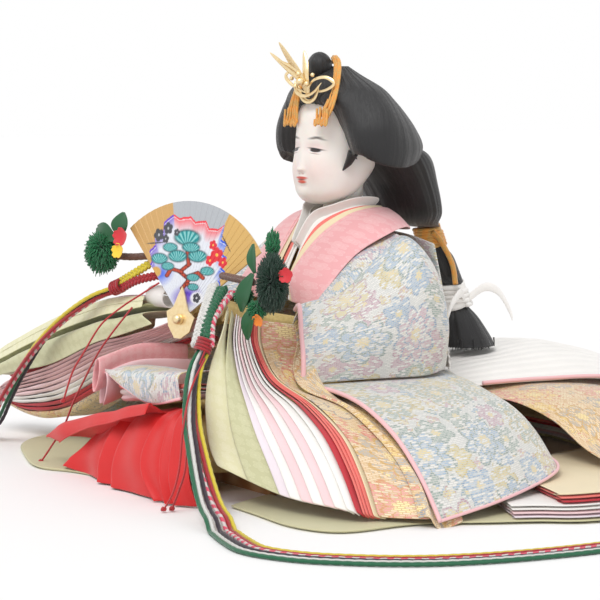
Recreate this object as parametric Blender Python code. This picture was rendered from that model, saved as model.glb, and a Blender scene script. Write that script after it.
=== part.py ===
"""Seated court doll in layered robes, holding an open painted fan.

Metres, +Z up.  The doll faces -Y and its left hand is on +X.  The origin is on the
floor, under the neck.
"""
import math

import bmesh
import bpy
from mathutils import Matrix, Vector

for old in list(bpy.data.objects):
    bpy.data.objects.remove(old, do_unlink=True)

# Driving dimensions

GAP = 0.0003                # clearance between touching pieces
CLOTH = 0.0009              # one lined layer of cloth
LAYER = CLOTH + GAP         # pitch of stacked layers
TUCK = 2.4 * LAYER            # depth of a layer's hidden edge under the one before it

SLEEVE_REACH = 0.150        # neck axis to the sleeve's corner on the floor
GARMENT_DEPTH = 0.100       # neck axis to the front of the knees' cloth
FOREARM_HEIGHT = 0.080      # floor to the top of the forearm

FACE_HEIGHT = 0.042         # chin to hairline
HEAD_WIDTH = 0.036
HEAD_DEPTH = 0.044
CHIN_SHARE = 1.52           # height of the chin in forearm heights
HAIR_WIDTH = 0.094
HAIR_DEPTH = 0.062
HAIR_RISE = 0.045           # lowest point of the wings to the crown

PEG_RADIUS = 0.0025
PEG_LENGTH = 0.034          # length of the peg inside the straw
PEG_GRIP = 0.008            # length of the peg inside the neck
PEG_CLEARANCE = 0.0001

BOARD_SIZE = (0.110, 0.090)
BOARD_THICKNESS = 0.008
BOARD_Y = -0.030

FAN_RADIUS = 0.053
FAN_OPENING = math.radians(95)
FAN_YAW = math.radians(18)
FAN_LEAN = math.radians(8)
FAN_ROLL = math.radians(5.5)
LEAF_THICKNESS = 0.0008
RIVET_RADIUS = 0.0012
PIVOT_SHARE = (0.0, -0.86, 0.90)

CORD_DIAMETER = 0.0018
BUNDLE_DIAMETER = 0.0045     # the cords of one side, lying together
BRAID_DIAMETER = 0.0060
THREAD_DIAMETER = 0.0009
ARM_RADIUS = 0.0050

SIDES = {"left": 1, "right": -1}


# Places and smooth curves

def at(share, side=1):
    """Place given in shares of the garment's reach, depth and forearm height."""
    return Vector((side * share[0] * SLEEVE_REACH, share[1] * GARMENT_DEPTH,
                   share[2] * FOREARM_HEIGHT))


def line(shares, side=1):
    return [at(share, side) for share in shares]


CHIN_Z = CHIN_SHARE * FOREARM_HEIGHT


def curve_at(points, share):
    """Point at a share (0 to 1) of the smooth curve through the points."""
    last = len(points) - 1
    place = min(max(share, 0), 1) * last
    i = min(int(place), last - 1)
    f = place - i
    b, c = points[i], points[i + 1]
    a = points[i - 1] if i else 2 * b - c
    d = points[i + 2] if i + 2 <= last else 2 * c - b
    return 0.5 * (2 * b + (c - a) * f + (2 * a - 5 * b + 4 * c - d) * f * f
                  + (3 * b - a - 3 * c + d) * f ** 3)


def patch_at(lines, u, v):
    """Point of the surface through the lines; v runs along a line, u across them."""
    return curve_at([curve_at(points, v) for points in lines], u)


def patch_normal(lines, u, v, facing):
    step = 0.01
    across = patch_at(lines, min(u + step, 1), v) - patch_at(lines, max(u - step, 0), v)
    along = patch_at(lines, u, min(v + step, 1)) - patch_at(lines, u, max(v - step, 0))
    return facing * across.cross(along).normalized()


def shares_between(first, last, count):
    return [first + (last - first) * i / (count - 1) for i in range(count)]


# Objects, materials and mesh building

def finish_colour(colour, roughness=0.8, metallic=0.0):
    def apply(thing):
        material = bpy.data.materials.new(thing.name)
        material.use_nodes = True
        shader = material.node_tree.nodes["Principled BSDF"]
        shader.inputs["Base Color"].default_value = (*colour, 1)
        shader.inputs["Roughness"].default_value = roughness
        shader.inputs["Metallic"].default_value = metallic
        thing.data.materials.append(material)
        return thing
    return apply


WHITE = finish_colour((0.90, 0.88, 0.87))
PALE_PINK = finish_colour((0.91, 0.72, 0.74))
PINK = finish_colour((0.86, 0.42, 0.45))
MAUVE = finish_colour((0.72, 0.55, 0.57))
LAVENDER = finish_colour((0.80, 0.72, 0.83))
GREEN = finish_colour((0.66, 0.67, 0.45))
OLIVE = finish_colour((0.52, 0.51, 0.34))
CORAL = finish_colour((0.82, 0.16, 0.13))
DARK_RED = finish_colour((0.48, 0.03, 0.06))
CREAM = finish_colour((0.87, 0.79, 0.62))
GOLD_BROCADE = finish_colour((0.62, 0.42, 0.24))
BLUE_BROCADE = finish_colour((0.66, 0.72, 0.72))
RED_SILK = finish_colour((0.80, 0.03, 0.03), 0.55)
SKIN = finish_colour((0.90, 0.85, 0.83), 0.35)
HAIR = finish_colour((0.02, 0.02, 0.022), 0.45)
GILT = finish_colour((0.83, 0.60, 0.24), 0.3, 1.0)
ORANGE_SILK = finish_colour((0.80, 0.40, 0.10), 0.5)
TASSEL_GREEN = finish_colour((0.01, 0.16, 0.08), 0.6)
FAN_WOOD = finish_colour((0.85, 0.82, 0.78), 0.6)
PINE = finish_colour((0.60, 0.42, 0.25), 0.7)
STRAW = finish_colour((0.66, 0.55, 0.30), 0.9)


def new_object(name, mesh, finish):
    mesh.name = name
    thing = bpy.data.objects.new(name, mesh)
    bpy.context.collection.objects.link(thing)
    return finish(thing)


def mesh_object(name, build, finish, smooth=True):
    """Make one object from the bmesh that build fills."""
    shape = bmesh.new()
    build(shape)
    bmesh.ops.recalc_face_normals(shape, faces=shape.faces)
    if shape.calc_volume(signed=True) < 0:
        bmesh.ops.reverse_faces(shape, faces=shape.faces)
    mesh = bpy.data.meshes.new(name)
    shape.to_mesh(mesh)
    shape.free()
    if smooth:
        mesh.shade_smooth()
        mesh.set_sharp_from_angle(angle=math.radians(40))
    return new_object(name, mesh, finish)


def add_slab(shape, outer, inner):
    """Close the space between two grids of points that have the same rows."""
    rows, columns = len(outer), len(outer[0])
    front = [[shape.verts.new(p) for p in row] for row in outer]
    back = [[shape.verts.new(p) for p in row] for row in inner]
    for i in range(rows - 1):
        for j in range(columns - 1):
            shape.faces.new((front[i][j], front[i + 1][j], front[i + 1][j + 1], front[i][j + 1]))
            shape.faces.new((back[i][j], back[i][j + 1], back[i + 1][j + 1], back[i + 1][j]))
    rim = [(i, 0) for i in range(rows)] + [(rows - 1, j) for j in range(1, columns)]
    rim += [(i, columns - 1) for i in range(rows - 2, -1, -1)]
    rim += [(0, j) for j in range(columns - 2, 0, -1)]
    for k, (i, j) in enumerate(rim):
        m, n = rim[(k + 1) % len(rim)]
        shape.faces.new((front[i][j], back[i][j], back[m][n], front[m][n]))


def sheet(name, lines, finish, u_range=(0, 1), v_range=(0, 1), steps=(7, 9), depths=(0.0, 0.0), facing=1):
    """A layer of cloth on the surface through the lines, at a depth under its first and last line."""
    def build(shape):
        outer, inner = [], []
        for k, u in enumerate(shares_between(*u_range, steps[0])):
            depth = depths[0] + (depths[1] - depths[0]) * k / (steps[0] - 1)
            near_row, far_row = [], []
            for v in shares_between(*v_range, steps[1]):
                point = patch_at(lines, u, v)
                normal = patch_normal(lines, u, v, facing)
                near_row.append(point - normal * depth)
                far_row.append(point - normal * (depth + CLOTH))
            outer.append(near_row)
            inner.append(far_row)
        add_slab(shape, outer, inner)
    return mesh_object(name, build, finish)


def add_loft(shape, rings):
    """Closed body through rings of points, with a flat cap at both ends."""
    loops = [[shape.verts.new(p) for p in ring] for ring in rings]
    count = len(loops[0])
    for low, high in zip(loops, loops[1:]):
        for k in range(count):
            n = (k + 1) % count
            shape.faces.new((low[k], low[n], high[n], high[k]))
    shape.faces.new(list(reversed(loops[0])))
    shape.faces.new(loops[-1])


def loft(name, rings, finish):
    return mesh_object(name, lambda shape: add_loft(shape, rings), finish)


def ellipse(centre, half_x, half_y, count=16):
    return [Vector((centre[0] + half_x * math.cos(2 * math.pi * k / count),
                    centre[1] + half_y * math.sin(2 * math.pi * k / count), centre[2]))
            for k in range(count)]


def cord_curve(name, routes, diameter, finish, points=24, resolution=2):
    """Round cords, each a tube along the smooth curve through its route."""
    data = bpy.data.curves.new(name, "CURVE")
    data.dimensions = "3D"
    data.bevel_depth = diameter / 2
    data.bevel_resolution = resolution
    data.use_fill_caps = True
    for route in routes:
        spline = data.splines.new("POLY")
        spline.points.add(points - 1)
        for k, share in enumerate(shares_between(0, 1, points)):
            spline.points[k].co = (*curve_at(route, share), 1)
    return new_object(name, data, finish)


def cut(thing, cutter, operation="DIFFERENCE"):
    """Cut one object by another, which is left out of the part."""
    modifier = thing.modifiers.new(cutter.name, "BOOLEAN")
    modifier.object = cutter
    modifier.operation = operation
    modifier.solver = "EXACT"
    cutter.hide_render = True
    cutter.display_type = "WIRE"


def ball(shape, centre, radii, segments=10, rings=6, turn=None):
    matrix = Matrix.Translation(centre) @ (turn or Matrix()) @ Matrix.Diagonal((*radii, 1))
    bmesh.ops.create_uvsphere(shape, u_segments=segments, v_segments=rings, radius=1, matrix=matrix)


def rod(shape, start, end, radius, segments=10):
    axis = end - start
    turn = axis.to_track_quat("Z", "Y").to_matrix().to_4x4()
    bmesh.ops.create_cone(shape, cap_ends=True, segments=segments, radius1=radius, radius2=radius,
                          depth=axis.length, matrix=Matrix.Translation((start + end) / 2) @ turn)


# Base board, straw body and lap padding

def make_base():
    def build(shape):
        size = Matrix.Diagonal((BOARD_SIZE[0], BOARD_SIZE[1], BOARD_THICKNESS, 1))
        lift = Matrix.Translation((0, BOARD_Y, BOARD_THICKNESS / 2))
        bmesh.ops.create_cube(shape, size=1, matrix=lift @ size)
    mesh_object("base_board", build, PINE, smooth=False)


TORSO_SHARES = [(0.17, 0.19, 0.0, None), (0.19, 0.21, 0.0, 0.35), (0.17, 0.19, 0.0, 0.70),
                (0.18, 0.17, 0.0, 1.00), (0.20, 0.15, 0.0, 1.22), (0.15, 0.13, 0.0, 1.34),
                (0.09, 0.11, 0.0, 1.40)]
TORSO_TOP = TORSO_SHARES[-1][3] * FOREARM_HEIGHT
ARM_SHARES = [(0.0, 0.02, 1.12), (0.16, 0.02, 1.18), (0.31, 0.0, 1.10), (0.36, -0.16, 0.95),
              (0.25, -0.42, 0.86), (0.13, -0.62, 0.91)]
LAP_SHARES = [(-0.10, 0.10), (-0.40, 0.14), (-0.60, 0.20), (-0.85, 0.24), (-1.00, 0.20)]
LAP_TOP_SHARE = 0.40
# Places from the fan's rivet, in arm radii: the wrist, the hand and the cuff's two ends
WRIST_SHARE = (3.00, 2.76, 0.88)
HAND_SHARE = (2.55, 1.94, 1.12)
HAND_SIZE_SHARES = (0.90, 0.80, 1.00)
CUFF_SHARES = [(-3.54, 1.0, 1.6), (-6.45, 1.0, 1.6)]
CUFF_RADIUS = 0.0042


def by_the_rivet(share, side=1):
    """Place given from the fan's rivet, in arm radii, so that hands and fan keep together."""
    return at(PIVOT_SHARE) + ARM_RADIUS * Vector((side * share[0], share[1], share[2]))


def arm_path(side):
    return line(ARM_SHARES, side) + [by_the_rivet(WRIST_SHARE, side)]


def tube_rings(path, radius, steps, sides=12):
    """Rings square to a path, for a body that is joined to another."""
    rings = []
    for v in shares_between(0, 1, steps):
        ahead = curve_at(path, min(v + 0.02, 1)) - curve_at(path, max(v - 0.02, 0))
        turn = ahead.to_track_quat("Z", "Y").to_matrix()
        centre = curve_at(path, v)
        rings.append([centre + turn @ Vector((radius * math.cos(a), radius * math.sin(a), 0))
                      for a in (2 * math.pi * k / sides for k in range(sides))])
    return rings


def make_body():
    rings = []
    for half_x, half_y, y, z in TORSO_SHARES:
        height = BOARD_THICKNESS + GAP if z is None else z * FOREARM_HEIGHT
        rings.append(ellipse((0, y * GARMENT_DEPTH, height), half_x * SLEEVE_REACH,
                             half_y * GARMENT_DEPTH))
    torso = loft("body_core", rings, STRAW)
    for side_name, side in SIDES.items():
        cut(torso, loft("cut_arm_" + side_name, tube_rings(arm_path(side), ARM_RADIUS, 14), STRAW), "UNION")

    def build_lap(shape):
        rings = []
        for y, half in LAP_SHARES:
            low = BOARD_THICKNESS + GAP
            high = LAP_TOP_SHARE * FOREARM_HEIGHT
            x = half * SLEEVE_REACH
            edge = (high - low) / 4
            rings.append([Vector((a, y * GARMENT_DEPTH, b)) for a, b in (
                (-x, low), (x, low), (x + edge, low + edge), (x, high - edge),
                (x - 2 * edge, high), (2 * edge - x, high), (-x, high - edge), (-x - edge, low + edge))])
        add_loft(shape, rings)
    cut(torso, mesh_object("cut_lap", build_lap, STRAW), "UNION")
    bore = PEG_RADIUS + PEG_CLEARANCE
    low = TORSO_TOP - PEG_LENGTH - PEG_CLEARANCE
    cut(torso, loft("cut_peg_hole", [ellipse((0, 0, low), bore, bore),
                                     ellipse((0, 0, TORSO_TOP + PEG_LENGTH), bore, bore)], STRAW))


def make_hands():
    for side_name, side in SIDES.items():
        def build(shape):
            ball(shape, by_the_rivet(HAND_SHARE, side), [ARM_RADIUS * size for size in HAND_SIZE_SHARES])
        mesh_object("hand_" + side_name, build, SKIN)

    def build_cuff(shape):
        rod(shape, *[by_the_rivet(share) for share in CUFF_SHARES], CUFF_RADIUS, 14)
    mesh_object("cuff_right", build_cuff, WHITE)


# Left sleeves: each control line runs from the top of the sleeve down to the floor

OUTER_LEFT_SHARES = [
    [(0.24, 0.36, 0.56), (0.33, 0.37, 0.50), (0.41, 0.38, 0.43), (0.49, 0.38, 0.35),
     (0.58, 0.38, 0.27), (0.66, 0.38, 0.19)],
    [(0.32, 0.20, 0.585), (0.44, 0.22, 0.565), (0.54, 0.24, 0.51), (0.65, 0.25, 0.44),
     (0.75, 0.26, 0.32), (0.84, 0.26, 0.17)],
    [(0.36, 0.02, 0.585), (0.48, 0.03, 0.58), (0.61, 0.04, 0.54), (0.74, 0.05, 0.45),
     (0.85, 0.06, 0.30), (0.93, 0.08, 0.142)],
    [(0.38, -0.28, 0.585), (0.53, -0.28, 0.58), (0.67, -0.27, 0.54), (0.82, -0.26, 0.43),
     (0.93, -0.26, 0.26), (1.00, -0.26, 0.09)],
    [(0.38, -0.57, 0.585), (0.53, -0.57, 0.58), (0.67, -0.57, 0.53), (0.81, -0.57, 0.41),
     (0.92, -0.57, 0.24), (1.01, -0.57, 0.035)],
]
LAYERS_LEFT_SHARES = [
    [(0.30, -0.50, 0.90), (0.335, -0.52, 0.76), (0.40, -0.635, 0.61), (0.62, -0.60, 0.535),
     (0.81, -0.585, 0.38), (0.93, -0.585, 0.22), (1.00, -0.61, 0.06)],
    [(0.24, -0.66, 0.92), (0.27, -0.68, 0.78), (0.36, -0.69, 0.63), (0.56, -0.70, 0.54),
     (0.72, -0.71, 0.41), (0.82, -0.72, 0.24), (0.90, -0.74, 0.05)],
    [(0.25, -0.73, 0.92), (0.28, -0.76, 0.81), (0.37, -0.78, 0.64), (0.53, -0.80, 0.54),
     (0.66, -0.82, 0.42), (0.77, -0.84, 0.26), (0.86, -0.86, 0.09)],
    [(0.25, -0.80, 0.97), (0.31, -0.87, 0.83), (0.39, -0.92, 0.66), (0.46, -0.94, 0.50),
     (0.53, -0.96, 0.37), (0.60, -0.97, 0.24), (0.66, -0.98, 0.12)],
    [(0.26, -0.86, 1.02), (0.34, -0.96, 0.90), (0.33, -1.01, 0.74), (0.33, -1.04, 0.58),
     (0.34, -1.05, 0.42), (0.37, -1.06, 0.30), (0.42, -1.07, 0.22)],
]

# Name, finish, first and last share of the run from the outer robe's edge to the green one
STRIP_SHARES = [
    ("robe_gold_left", GOLD_BROCADE, (0.0, 0.25)),
    ("robe_coral_left", CORAL, (0.19, 0.38)),
    ("robe_dark_red_left", DARK_RED, (0.28, 0.49)),
    ("robe_white_left", WHITE, (0.39, 0.58)),
    ("robe_pink_left", PALE_PINK, (0.50, 0.68)),
    ("robe_lavender_left", LAVENDER, (0.62, 0.76)),
    ("robe_green_left", GREEN, (0.71, 1.0)),
]


def make_left_sleeve():
    outer = [line(row) for row in OUTER_LEFT_SHARES]
    sheet("robe_blue_left", outer, BLUE_BROCADE, steps=(9, 9))
    layers = [line(row) for row in LAYERS_LEFT_SHARES]
    for name, finish, run in STRIP_SHARES:
        sheet(name, layers, finish, u_range=run, steps=(5, 12), depths=(TUCK, 0))


# Short jacket: a sleeve on each side, pink piping at its mouth, lapels and a back

JACKET_SLEEVE_SHARES = [
    [(0.25, -0.50, 0.97), (0.31, -0.54, 1.00), (0.35, -0.57, 0.87), (0.38, -0.59, 0.74),
     (0.39, -0.60, 0.595)],
    [(0.23, -0.28, 0.99), (0.31, -0.34, 1.06), (0.38, -0.36, 0.97), (0.42, -0.37, 0.80),
     (0.41, -0.38, 0.595)],
    [(0.22, -0.14, 1.13), (0.32, -0.16, 1.21), (0.41, -0.15, 1.08), (0.45, -0.14, 0.85),
     (0.43, -0.14, 0.595)],
    [(0.23, -0.01, 1.31), (0.33, -0.01, 1.35), (0.42, 0.00, 1.20), (0.46, 0.00, 0.92),
     (0.44, 0.02, 0.595)],
    [(0.21, 0.09, 1.33), (0.31, 0.10, 1.31), (0.39, 0.13, 1.15), (0.42, 0.15, 0.90), (0.40, 0.16, 0.62)],
    [(0.14, 0.18, 1.31), (0.22, 0.20, 1.26), (0.27, 0.22, 1.12), (0.30, 0.23, 0.90), (0.28, 0.23, 0.62)],
]
COLLAR_SHARES = [
    [(0.005, 0.19, 1.50), (0.08, 0.13, 1.54), (0.10, 0.00, 1.55), (0.075, -0.12, 1.51),
     (0.02, -0.20, 1.44), (0.006, -0.31, 1.17), (0.006, -0.34, 0.98)],
    [(0.005, 0.22, 1.46), (0.107, 0.15, 1.50), (0.133, 0.02, 1.50), (0.12, -0.09, 1.46),
     (0.08, -0.22, 1.325), (0.06, -0.34, 1.125), (0.087, -0.36, 0.975)],
    [(0.005, 0.245, 1.41), (0.127, 0.20, 1.45), (0.187, 0.08, 1.465), (0.213, -0.05, 1.44),
     (0.18, -0.21, 1.30), (0.153, -0.34, 1.11), (0.16, -0.37, 0.975)],
    [(0.005, 0.26, 1.36), (0.147, 0.24, 1.37), (0.24, 0.12, 1.40), (0.293, -0.03, 1.38),
     (0.253, -0.17, 1.265), (0.24, -0.31, 1.09), (0.233, -0.37, 0.975)],
]
# Name, finish, run over the collar's surface and depth in layers
COLLAR_BAND_SHARES = [("collar_gold", CREAM, (0.20, 0.42), 1), ("collar_red", CORAL, (0.13, 0.24), 2),
           ("collar_white", WHITE, (0.0, 0.17), 3)]
LAPEL_SHARES = (0.36, 1.0)
BACK_SHARES = [
    [(-0.27, 0.25, 1.30), (-0.29, 0.26, 1.12), (-0.31, 0.27, 0.90), (-0.29, 0.27, 0.66)],
    [(-0.12, 0.262, 1.34), (-0.14, 0.30, 1.12), (-0.14, 0.32, 0.90), (-0.14, 0.31, 0.66)],
    [(0.0, 0.265, 1.352), (0.0, 0.31, 1.12), (0.0, 0.33, 0.90), (0.0, 0.32, 0.66)],
    [(0.12, 0.262, 1.34), (0.14, 0.30, 1.12), (0.14, 0.32, 0.90), (0.14, 0.31, 0.66)],
    [(0.27, 0.25, 1.30), (0.29, 0.26, 1.12), (0.31, 0.27, 0.90), (0.29, 0.27, 0.66)],
]


def round_the_neck(rows):
    """Lines that run from the right front, round the back of the neck, to the left front."""
    whole = []
    for row in rows:
        left = line(row)
        left[0].x = 0
        whole.append(line(row[:0:-1], -1) + left)
    return whole


def make_jacket():
    for side_name, side in SIDES.items():
        sleeve = [line(row, side) for row in JACKET_SLEEVE_SHARES]
        sheet("jacket_sleeve_" + side_name, sleeve, BLUE_BROCADE, steps=(11, 8), facing=-side)
    bands = round_the_neck(COLLAR_SHARES)
    sheet("lapels", bands, PINK, u_range=LAPEL_SHARES, steps=(4, 27), facing=-1)
    for name, finish, run, depth in COLLAR_BAND_SHARES:
        sheet(name, bands, finish, u_range=run, steps=(3, 27), depths=(depth * LAYER, depth * LAYER),
              facing=-1)
    sheet("jacket_back", [line(row) for row in BACK_SHARES], BLUE_BROCADE, steps=(9, 6))


# Right sleeve: its mouth opens towards the front, so the lining layers show as a fan of edges

OUTER_RIGHT_SHARES = [
    [(0.28, -0.62, 0.90), (0.40, -0.63, 0.80), (0.54, -0.61, 0.68), (0.70, -0.60, 0.54),
     (0.85, -0.60, 0.38), (0.97, -0.61, 0.26), (1.05, -0.63, 0.15)],
    [(0.22, -0.66, 0.99), (0.32, -0.70, 0.93), (0.44, -0.74, 0.86), (0.58, -0.77, 0.74),
     (0.80, -0.80, 0.60), (1.00, -0.82, 0.44), (1.12, -0.84, 0.34)],
    [(0.08, -0.82, 1.02), (0.20, -0.86, 1.01), (0.32, -0.89, 0.99), (0.44, -0.92, 0.94),
     (0.72, -0.94, 0.79), (1.03, -0.96, 0.57), (1.18, -0.97, 0.44)],
    [(0.08, -0.86, 0.99), (0.18, -0.90, 0.95), (0.30, -0.94, 0.90), (0.42, -0.96, 0.85),
     (0.74, -0.98, 0.68), (1.00, -1.00, 0.51), (1.15, -1.01, 0.41)],
]
GREEN_LOW_SHARES = [
    [(0.08, -0.70, 0.90), (0.18, -0.70, 0.86), (0.30, -0.72, 0.80), (0.44, -0.74, 0.76),
     (0.74, -0.80, 0.53), (1.00, -0.86, 0.38), (1.12, -0.90, 0.31)],
    [(0.08, -0.87, 0.95), (0.18, -0.92, 0.91), (0.30, -0.96, 0.86), (0.42, -0.98, 0.81),
     (0.74, -1.00, 0.64), (1.00, -1.02, 0.47), (1.14, -1.03, 0.38)],
    [(0.07, -0.86, 0.90), (0.13, -0.92, 0.85), (0.26, -0.97, 0.77), (0.40, -0.99, 0.70),
     (0.66, -1.01, 0.53), (0.97, -1.02, 0.41), (1.10, -1.03, 0.33)],
]
STACK_TOP_SHARES = [(0.07, -0.84, 0.886), (0.13, -0.90, 0.83), (0.26, -0.95, 0.762), (0.40, -0.977, 0.703),
                    (0.66, -0.997, 0.529), (0.95, -1.00, 0.38), (1.08, -1.01, 0.27)]
STACK_BOTTOM_SHARES = [(0.14, -0.66, 0.70), (0.26, -0.70, 0.62), (0.40, -0.76, 0.48), (0.60, -0.80, 0.30),
                       (0.76, -0.85, 0.16), (0.94, -0.90, 0.13), (1.08, -0.95, 0.21)]
STACK_DEPTH_SHARE = (0.0, 0.18, 0.0)
BLUE_RIGHT_SHARES = OUTER_LEFT_SHARES[:3] + [
    [(0.48, -0.28, 0.60), (0.58, -0.28, 0.60), (0.70, -0.27, 0.55), (0.83, -0.26, 0.43),
     (0.93, -0.26, 0.26), (1.00, -0.26, 0.09)],
    [(0.44, -0.57, 0.74), (0.55, -0.57, 0.66), (0.69, -0.57, 0.53), (0.83, -0.57, 0.38),
     (0.94, -0.57, 0.24), (1.03, -0.57, 0.10)],
]
# Name, finish, run over the upper rim and depth of the hidden edge in tucks
RIM_ROBE_SHARES = [("robe_gold_right", GOLD_BROCADE, (0.0, 0.26), 1.0),
                   ("robe_red_right", DARK_RED, (0.17, 0.47), 1.0),
                   ("robe_white_right", WHITE, (0.36, 0.74), 1.0),
                   ("robe_green_right", GREEN, (0.755, 1.0), 0.0)]
RIM_SHARES = (0.18, 1.0)       # the upper rim starts beside the cuff
LINING_SHARES = (0.14, 1.0)
# Name, finish, first and last slab of the folded lining under the mouth
LINING_SLABS = [("lining_mauve_right", MAUVE, 0, 3), ("lining_pink_right", PALE_PINK, 3, 5),
                ("lining_white_right", WHITE, 5, 7), ("lining_red_right", DARK_RED, 7, 9),
                ("lining_gold_right", GOLD_BROCADE, 9, 11)]
LINING_COUNT = 11


def between(first, second, share):
    return [a + (b - a) * share for a, b in zip(first, second)]


def slab_between(name, finish, top, bottom, back, first, last):
    """Folded cloth that fills a share of the height between two lines and runs back from them."""
    def build(shape):
        grids = []
        for row, drop in ((between(top, bottom, first), 0), (between(top, bottom, last), GAP)):
            points = [curve_at(row, v) + Vector((0, 0, drop)) for v in shares_between(0, 1, 12)]
            grids.append([points, [p + back for p in points]])
        add_slab(shape, *grids)
    return mesh_object(name, build, finish)


def make_right_sleeve():
    outer = [line(row, -1) for row in BLUE_RIGHT_SHARES]
    sheet("robe_blue_right", outer, BLUE_BROCADE, steps=(9, 9), facing=-1)
    rim = [line(row, -1) for row in OUTER_RIGHT_SHARES]
    for name, finish, run, tuck in RIM_ROBE_SHARES:
        sheet(name, rim, finish, u_range=run, v_range=RIM_SHARES, steps=(4, 9),
              depths=(tuck * TUCK, 0), facing=-1)
    low = [line(row, -1) for row in GREEN_LOW_SHARES]
    sheet("lining_green_right", low, GREEN, v_range=LINING_SHARES, steps=(5, 11), facing=-1)
    top, bottom = line(STACK_TOP_SHARES, -1), line(STACK_BOTTOM_SHARES, -1)
    for name, finish, first, last in LINING_SLABS:
        slab_between(name, finish, top, bottom, at(STACK_DEPTH_SHARE),
                     first / LINING_COUNT, last / LINING_COUNT)


# Robe fronts over the lap, and the folded front of the short jacket

LAP_ROBE_TOP_SHARES = [(-0.115, -1.13, 0.61), (0.0, -1.14, 0.62), (0.12, -1.13, 0.63),
                       (0.235, -1.09, 0.65)]
LAP_ROBE_BOTTOM_SHARES = [(-0.115, -1.10, 0.45), (0.0, -1.12, 0.49), (0.12, -1.12, 0.53),
                          (0.235, -1.08, 0.57)]
LAP_ROBE_BACK_SHARE = (0.0, 0.42, -0.045)
FOLD_SHARES = [(-0.162, -0.70, 0.515), (-0.182, -0.94, 0.60), (-0.157, -1.17, 0.58)]
FOLD_RADII = (0.0062, 0.0085)


def make_lap_robes():
    slab_between("robe_fronts", BLUE_BROCADE, line(LAP_ROBE_TOP_SHARES), line(LAP_ROBE_BOTTOM_SHARES),
                 at(LAP_ROBE_BACK_SHARE), 0, 1)
    path = line(FOLD_SHARES)
    rings = []
    for v in shares_between(0, 1, 6):
        rings.append([curve_at(path, v) + Vector((FOLD_RADII[0] * math.cos(a),
                                                  0, FOLD_RADII[1] * math.sin(a)))
                      for a in (math.pi * k / 6 for k in range(12))])
    loft("jacket_front_right", rings, PINK)


# Hakama: red pleated trousers spread in front

HAKAMA_SHARES = [
    [(0.33, -1.10, 0.47), (0.36, -1.15, 0.42), (0.40, -1.19, 0.20), (0.42, -1.17, 0.01)],
    [(0.26, -1.05, 0.49), (0.29, -1.16, 0.43), (0.31, -1.23, 0.20), (0.33, -1.22, 0.01)],
    [(0.205, -1.012, 0.47), (0.20, -1.15, 0.41), (0.195, -1.235, 0.20), (0.265, -1.23, 0.01)],
]
HAKAMA_RIGHT_SHARES = [
    [(0.196, -1.012, 0.465), (0.191, -1.15, 0.405), (0.186, -1.23, 0.20), (0.256, -1.228, 0.01)],
    [(0.10, -1.012, 0.43), (0.06, -1.14, 0.38), (0.04, -1.22, 0.18), (0.03, -1.23, 0.01)],
    [(-0.02, -1.012, 0.40), (-0.08, -1.13, 0.33), (-0.12, -1.20, 0.15), (-0.14, -1.21, 0.012)],
    [(-0.14, -1.012, 0.36), (-0.18, -1.09, 0.26), (-0.27, -1.17, 0.11), (-0.32, -1.20, 0.03)],
]
FLAP_SHARES = [
    [(0.17, -1.08, 0.42), (0.02, -1.10, 0.35), (-0.10, -1.10, 0.26), (-0.20, -1.10, 0.19)],
    [(0.19, -1.18, 0.50), (0.02, -1.19, 0.42), (-0.20, -1.19, 0.33), (-0.46, -1.18, 0.17)],
    [(0.19, -1.22, 0.45), (0.02, -1.225, 0.37), (-0.20, -1.22, 0.26), (-0.34, -1.20, 0.155)],
]


def make_hakama():
    sheet("hakama_left", [line(row) for row in HAKAMA_SHARES], RED_SILK, steps=(5, 8))
    leg = sheet("hakama_right", [line(row) for row in HAKAMA_RIGHT_SHARES], RED_SILK, steps=(7, 8))
    cut(leg, sheet("cut_flap", [line(row) for row in FLAP_SHARES], RED_SILK, steps=(7, 8)), "UNION")


# Hems on the floor, the brocade train and the white pleated train

# Place and width of the lowest hem, from its near front, round the back, to its far front
HEM_SHARES = [
    (0.46, -1.03, 0.10), (0.60, -1.04, 0.11), (0.79, -1.05, 0.12), (0.92, -0.94, 0.12),
    (0.94, -0.62, 0.16),
    (1.03, -0.35, 0.24), (1.09, -0.17, 0.28), (1.17, 0.04, 0.30), (1.20, 0.60, 0.30), (1.10, 1.30, 0.30),
    (0.78, 1.85, 0.30), (0.30, 2.03, 0.30), (0.0, 2.06, 0.30), (-0.30, 2.03, 0.30), (-0.78, 1.85, 0.30),
    (-1.10, 1.30, 0.30), (-1.20, 0.60, 0.30), (-1.17, 0.04, 0.30), (-1.09, -0.17, 0.28),
    (-1.03, -0.35, 0.24),
    (-0.95, -0.62, 0.16), (-0.90, -0.88, 0.12), (-0.79, -1.05, 0.12), (-0.60, -1.18, 0.11),
    (-0.40, -1.27, 0.11),
    (-0.27, -1.19, 0.10), (-0.10, -1.13, 0.10),
]
HEM_CENTRE_SHARE = (0.0, 0.45)
HEM_STEP_SHARE = 0.011
# Name, finish, first and last layer over the floor, and run along the lowest hem
HEM_RUN_SHARES = [("hem_olive", OLIVE, 0, 1, (0.0, 1.0)), ("hem_white", WHITE, 1, 5, (0.212, 0.711)),
        ("hem_red", DARK_RED, 5, 8, (0.255, 0.668))]


def hem_band(low, first_layer, run, count):
    """Outer and inner line of a hem, at a height over the floor."""
    places = [Vector((x * SLEEVE_REACH, y * GARMENT_DEPTH, width)) for x, y, width in HEM_SHARES]
    centre = Vector((0, HEM_CENTRE_SHARE[1] * GARMENT_DEPTH, 0))
    outer, inner = [], []
    for v in shares_between(*run, count):
        place = curve_at(places, v)
        flat = Vector((place.x, place.y, 0)) - centre
        lift = centre + Vector((0, 0, low))
        outer.append(lift + flat * (1 - first_layer * HEM_STEP_SHARE))
        inner.append(lift + flat * (1 - place.z))
    return [outer, inner]


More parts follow.
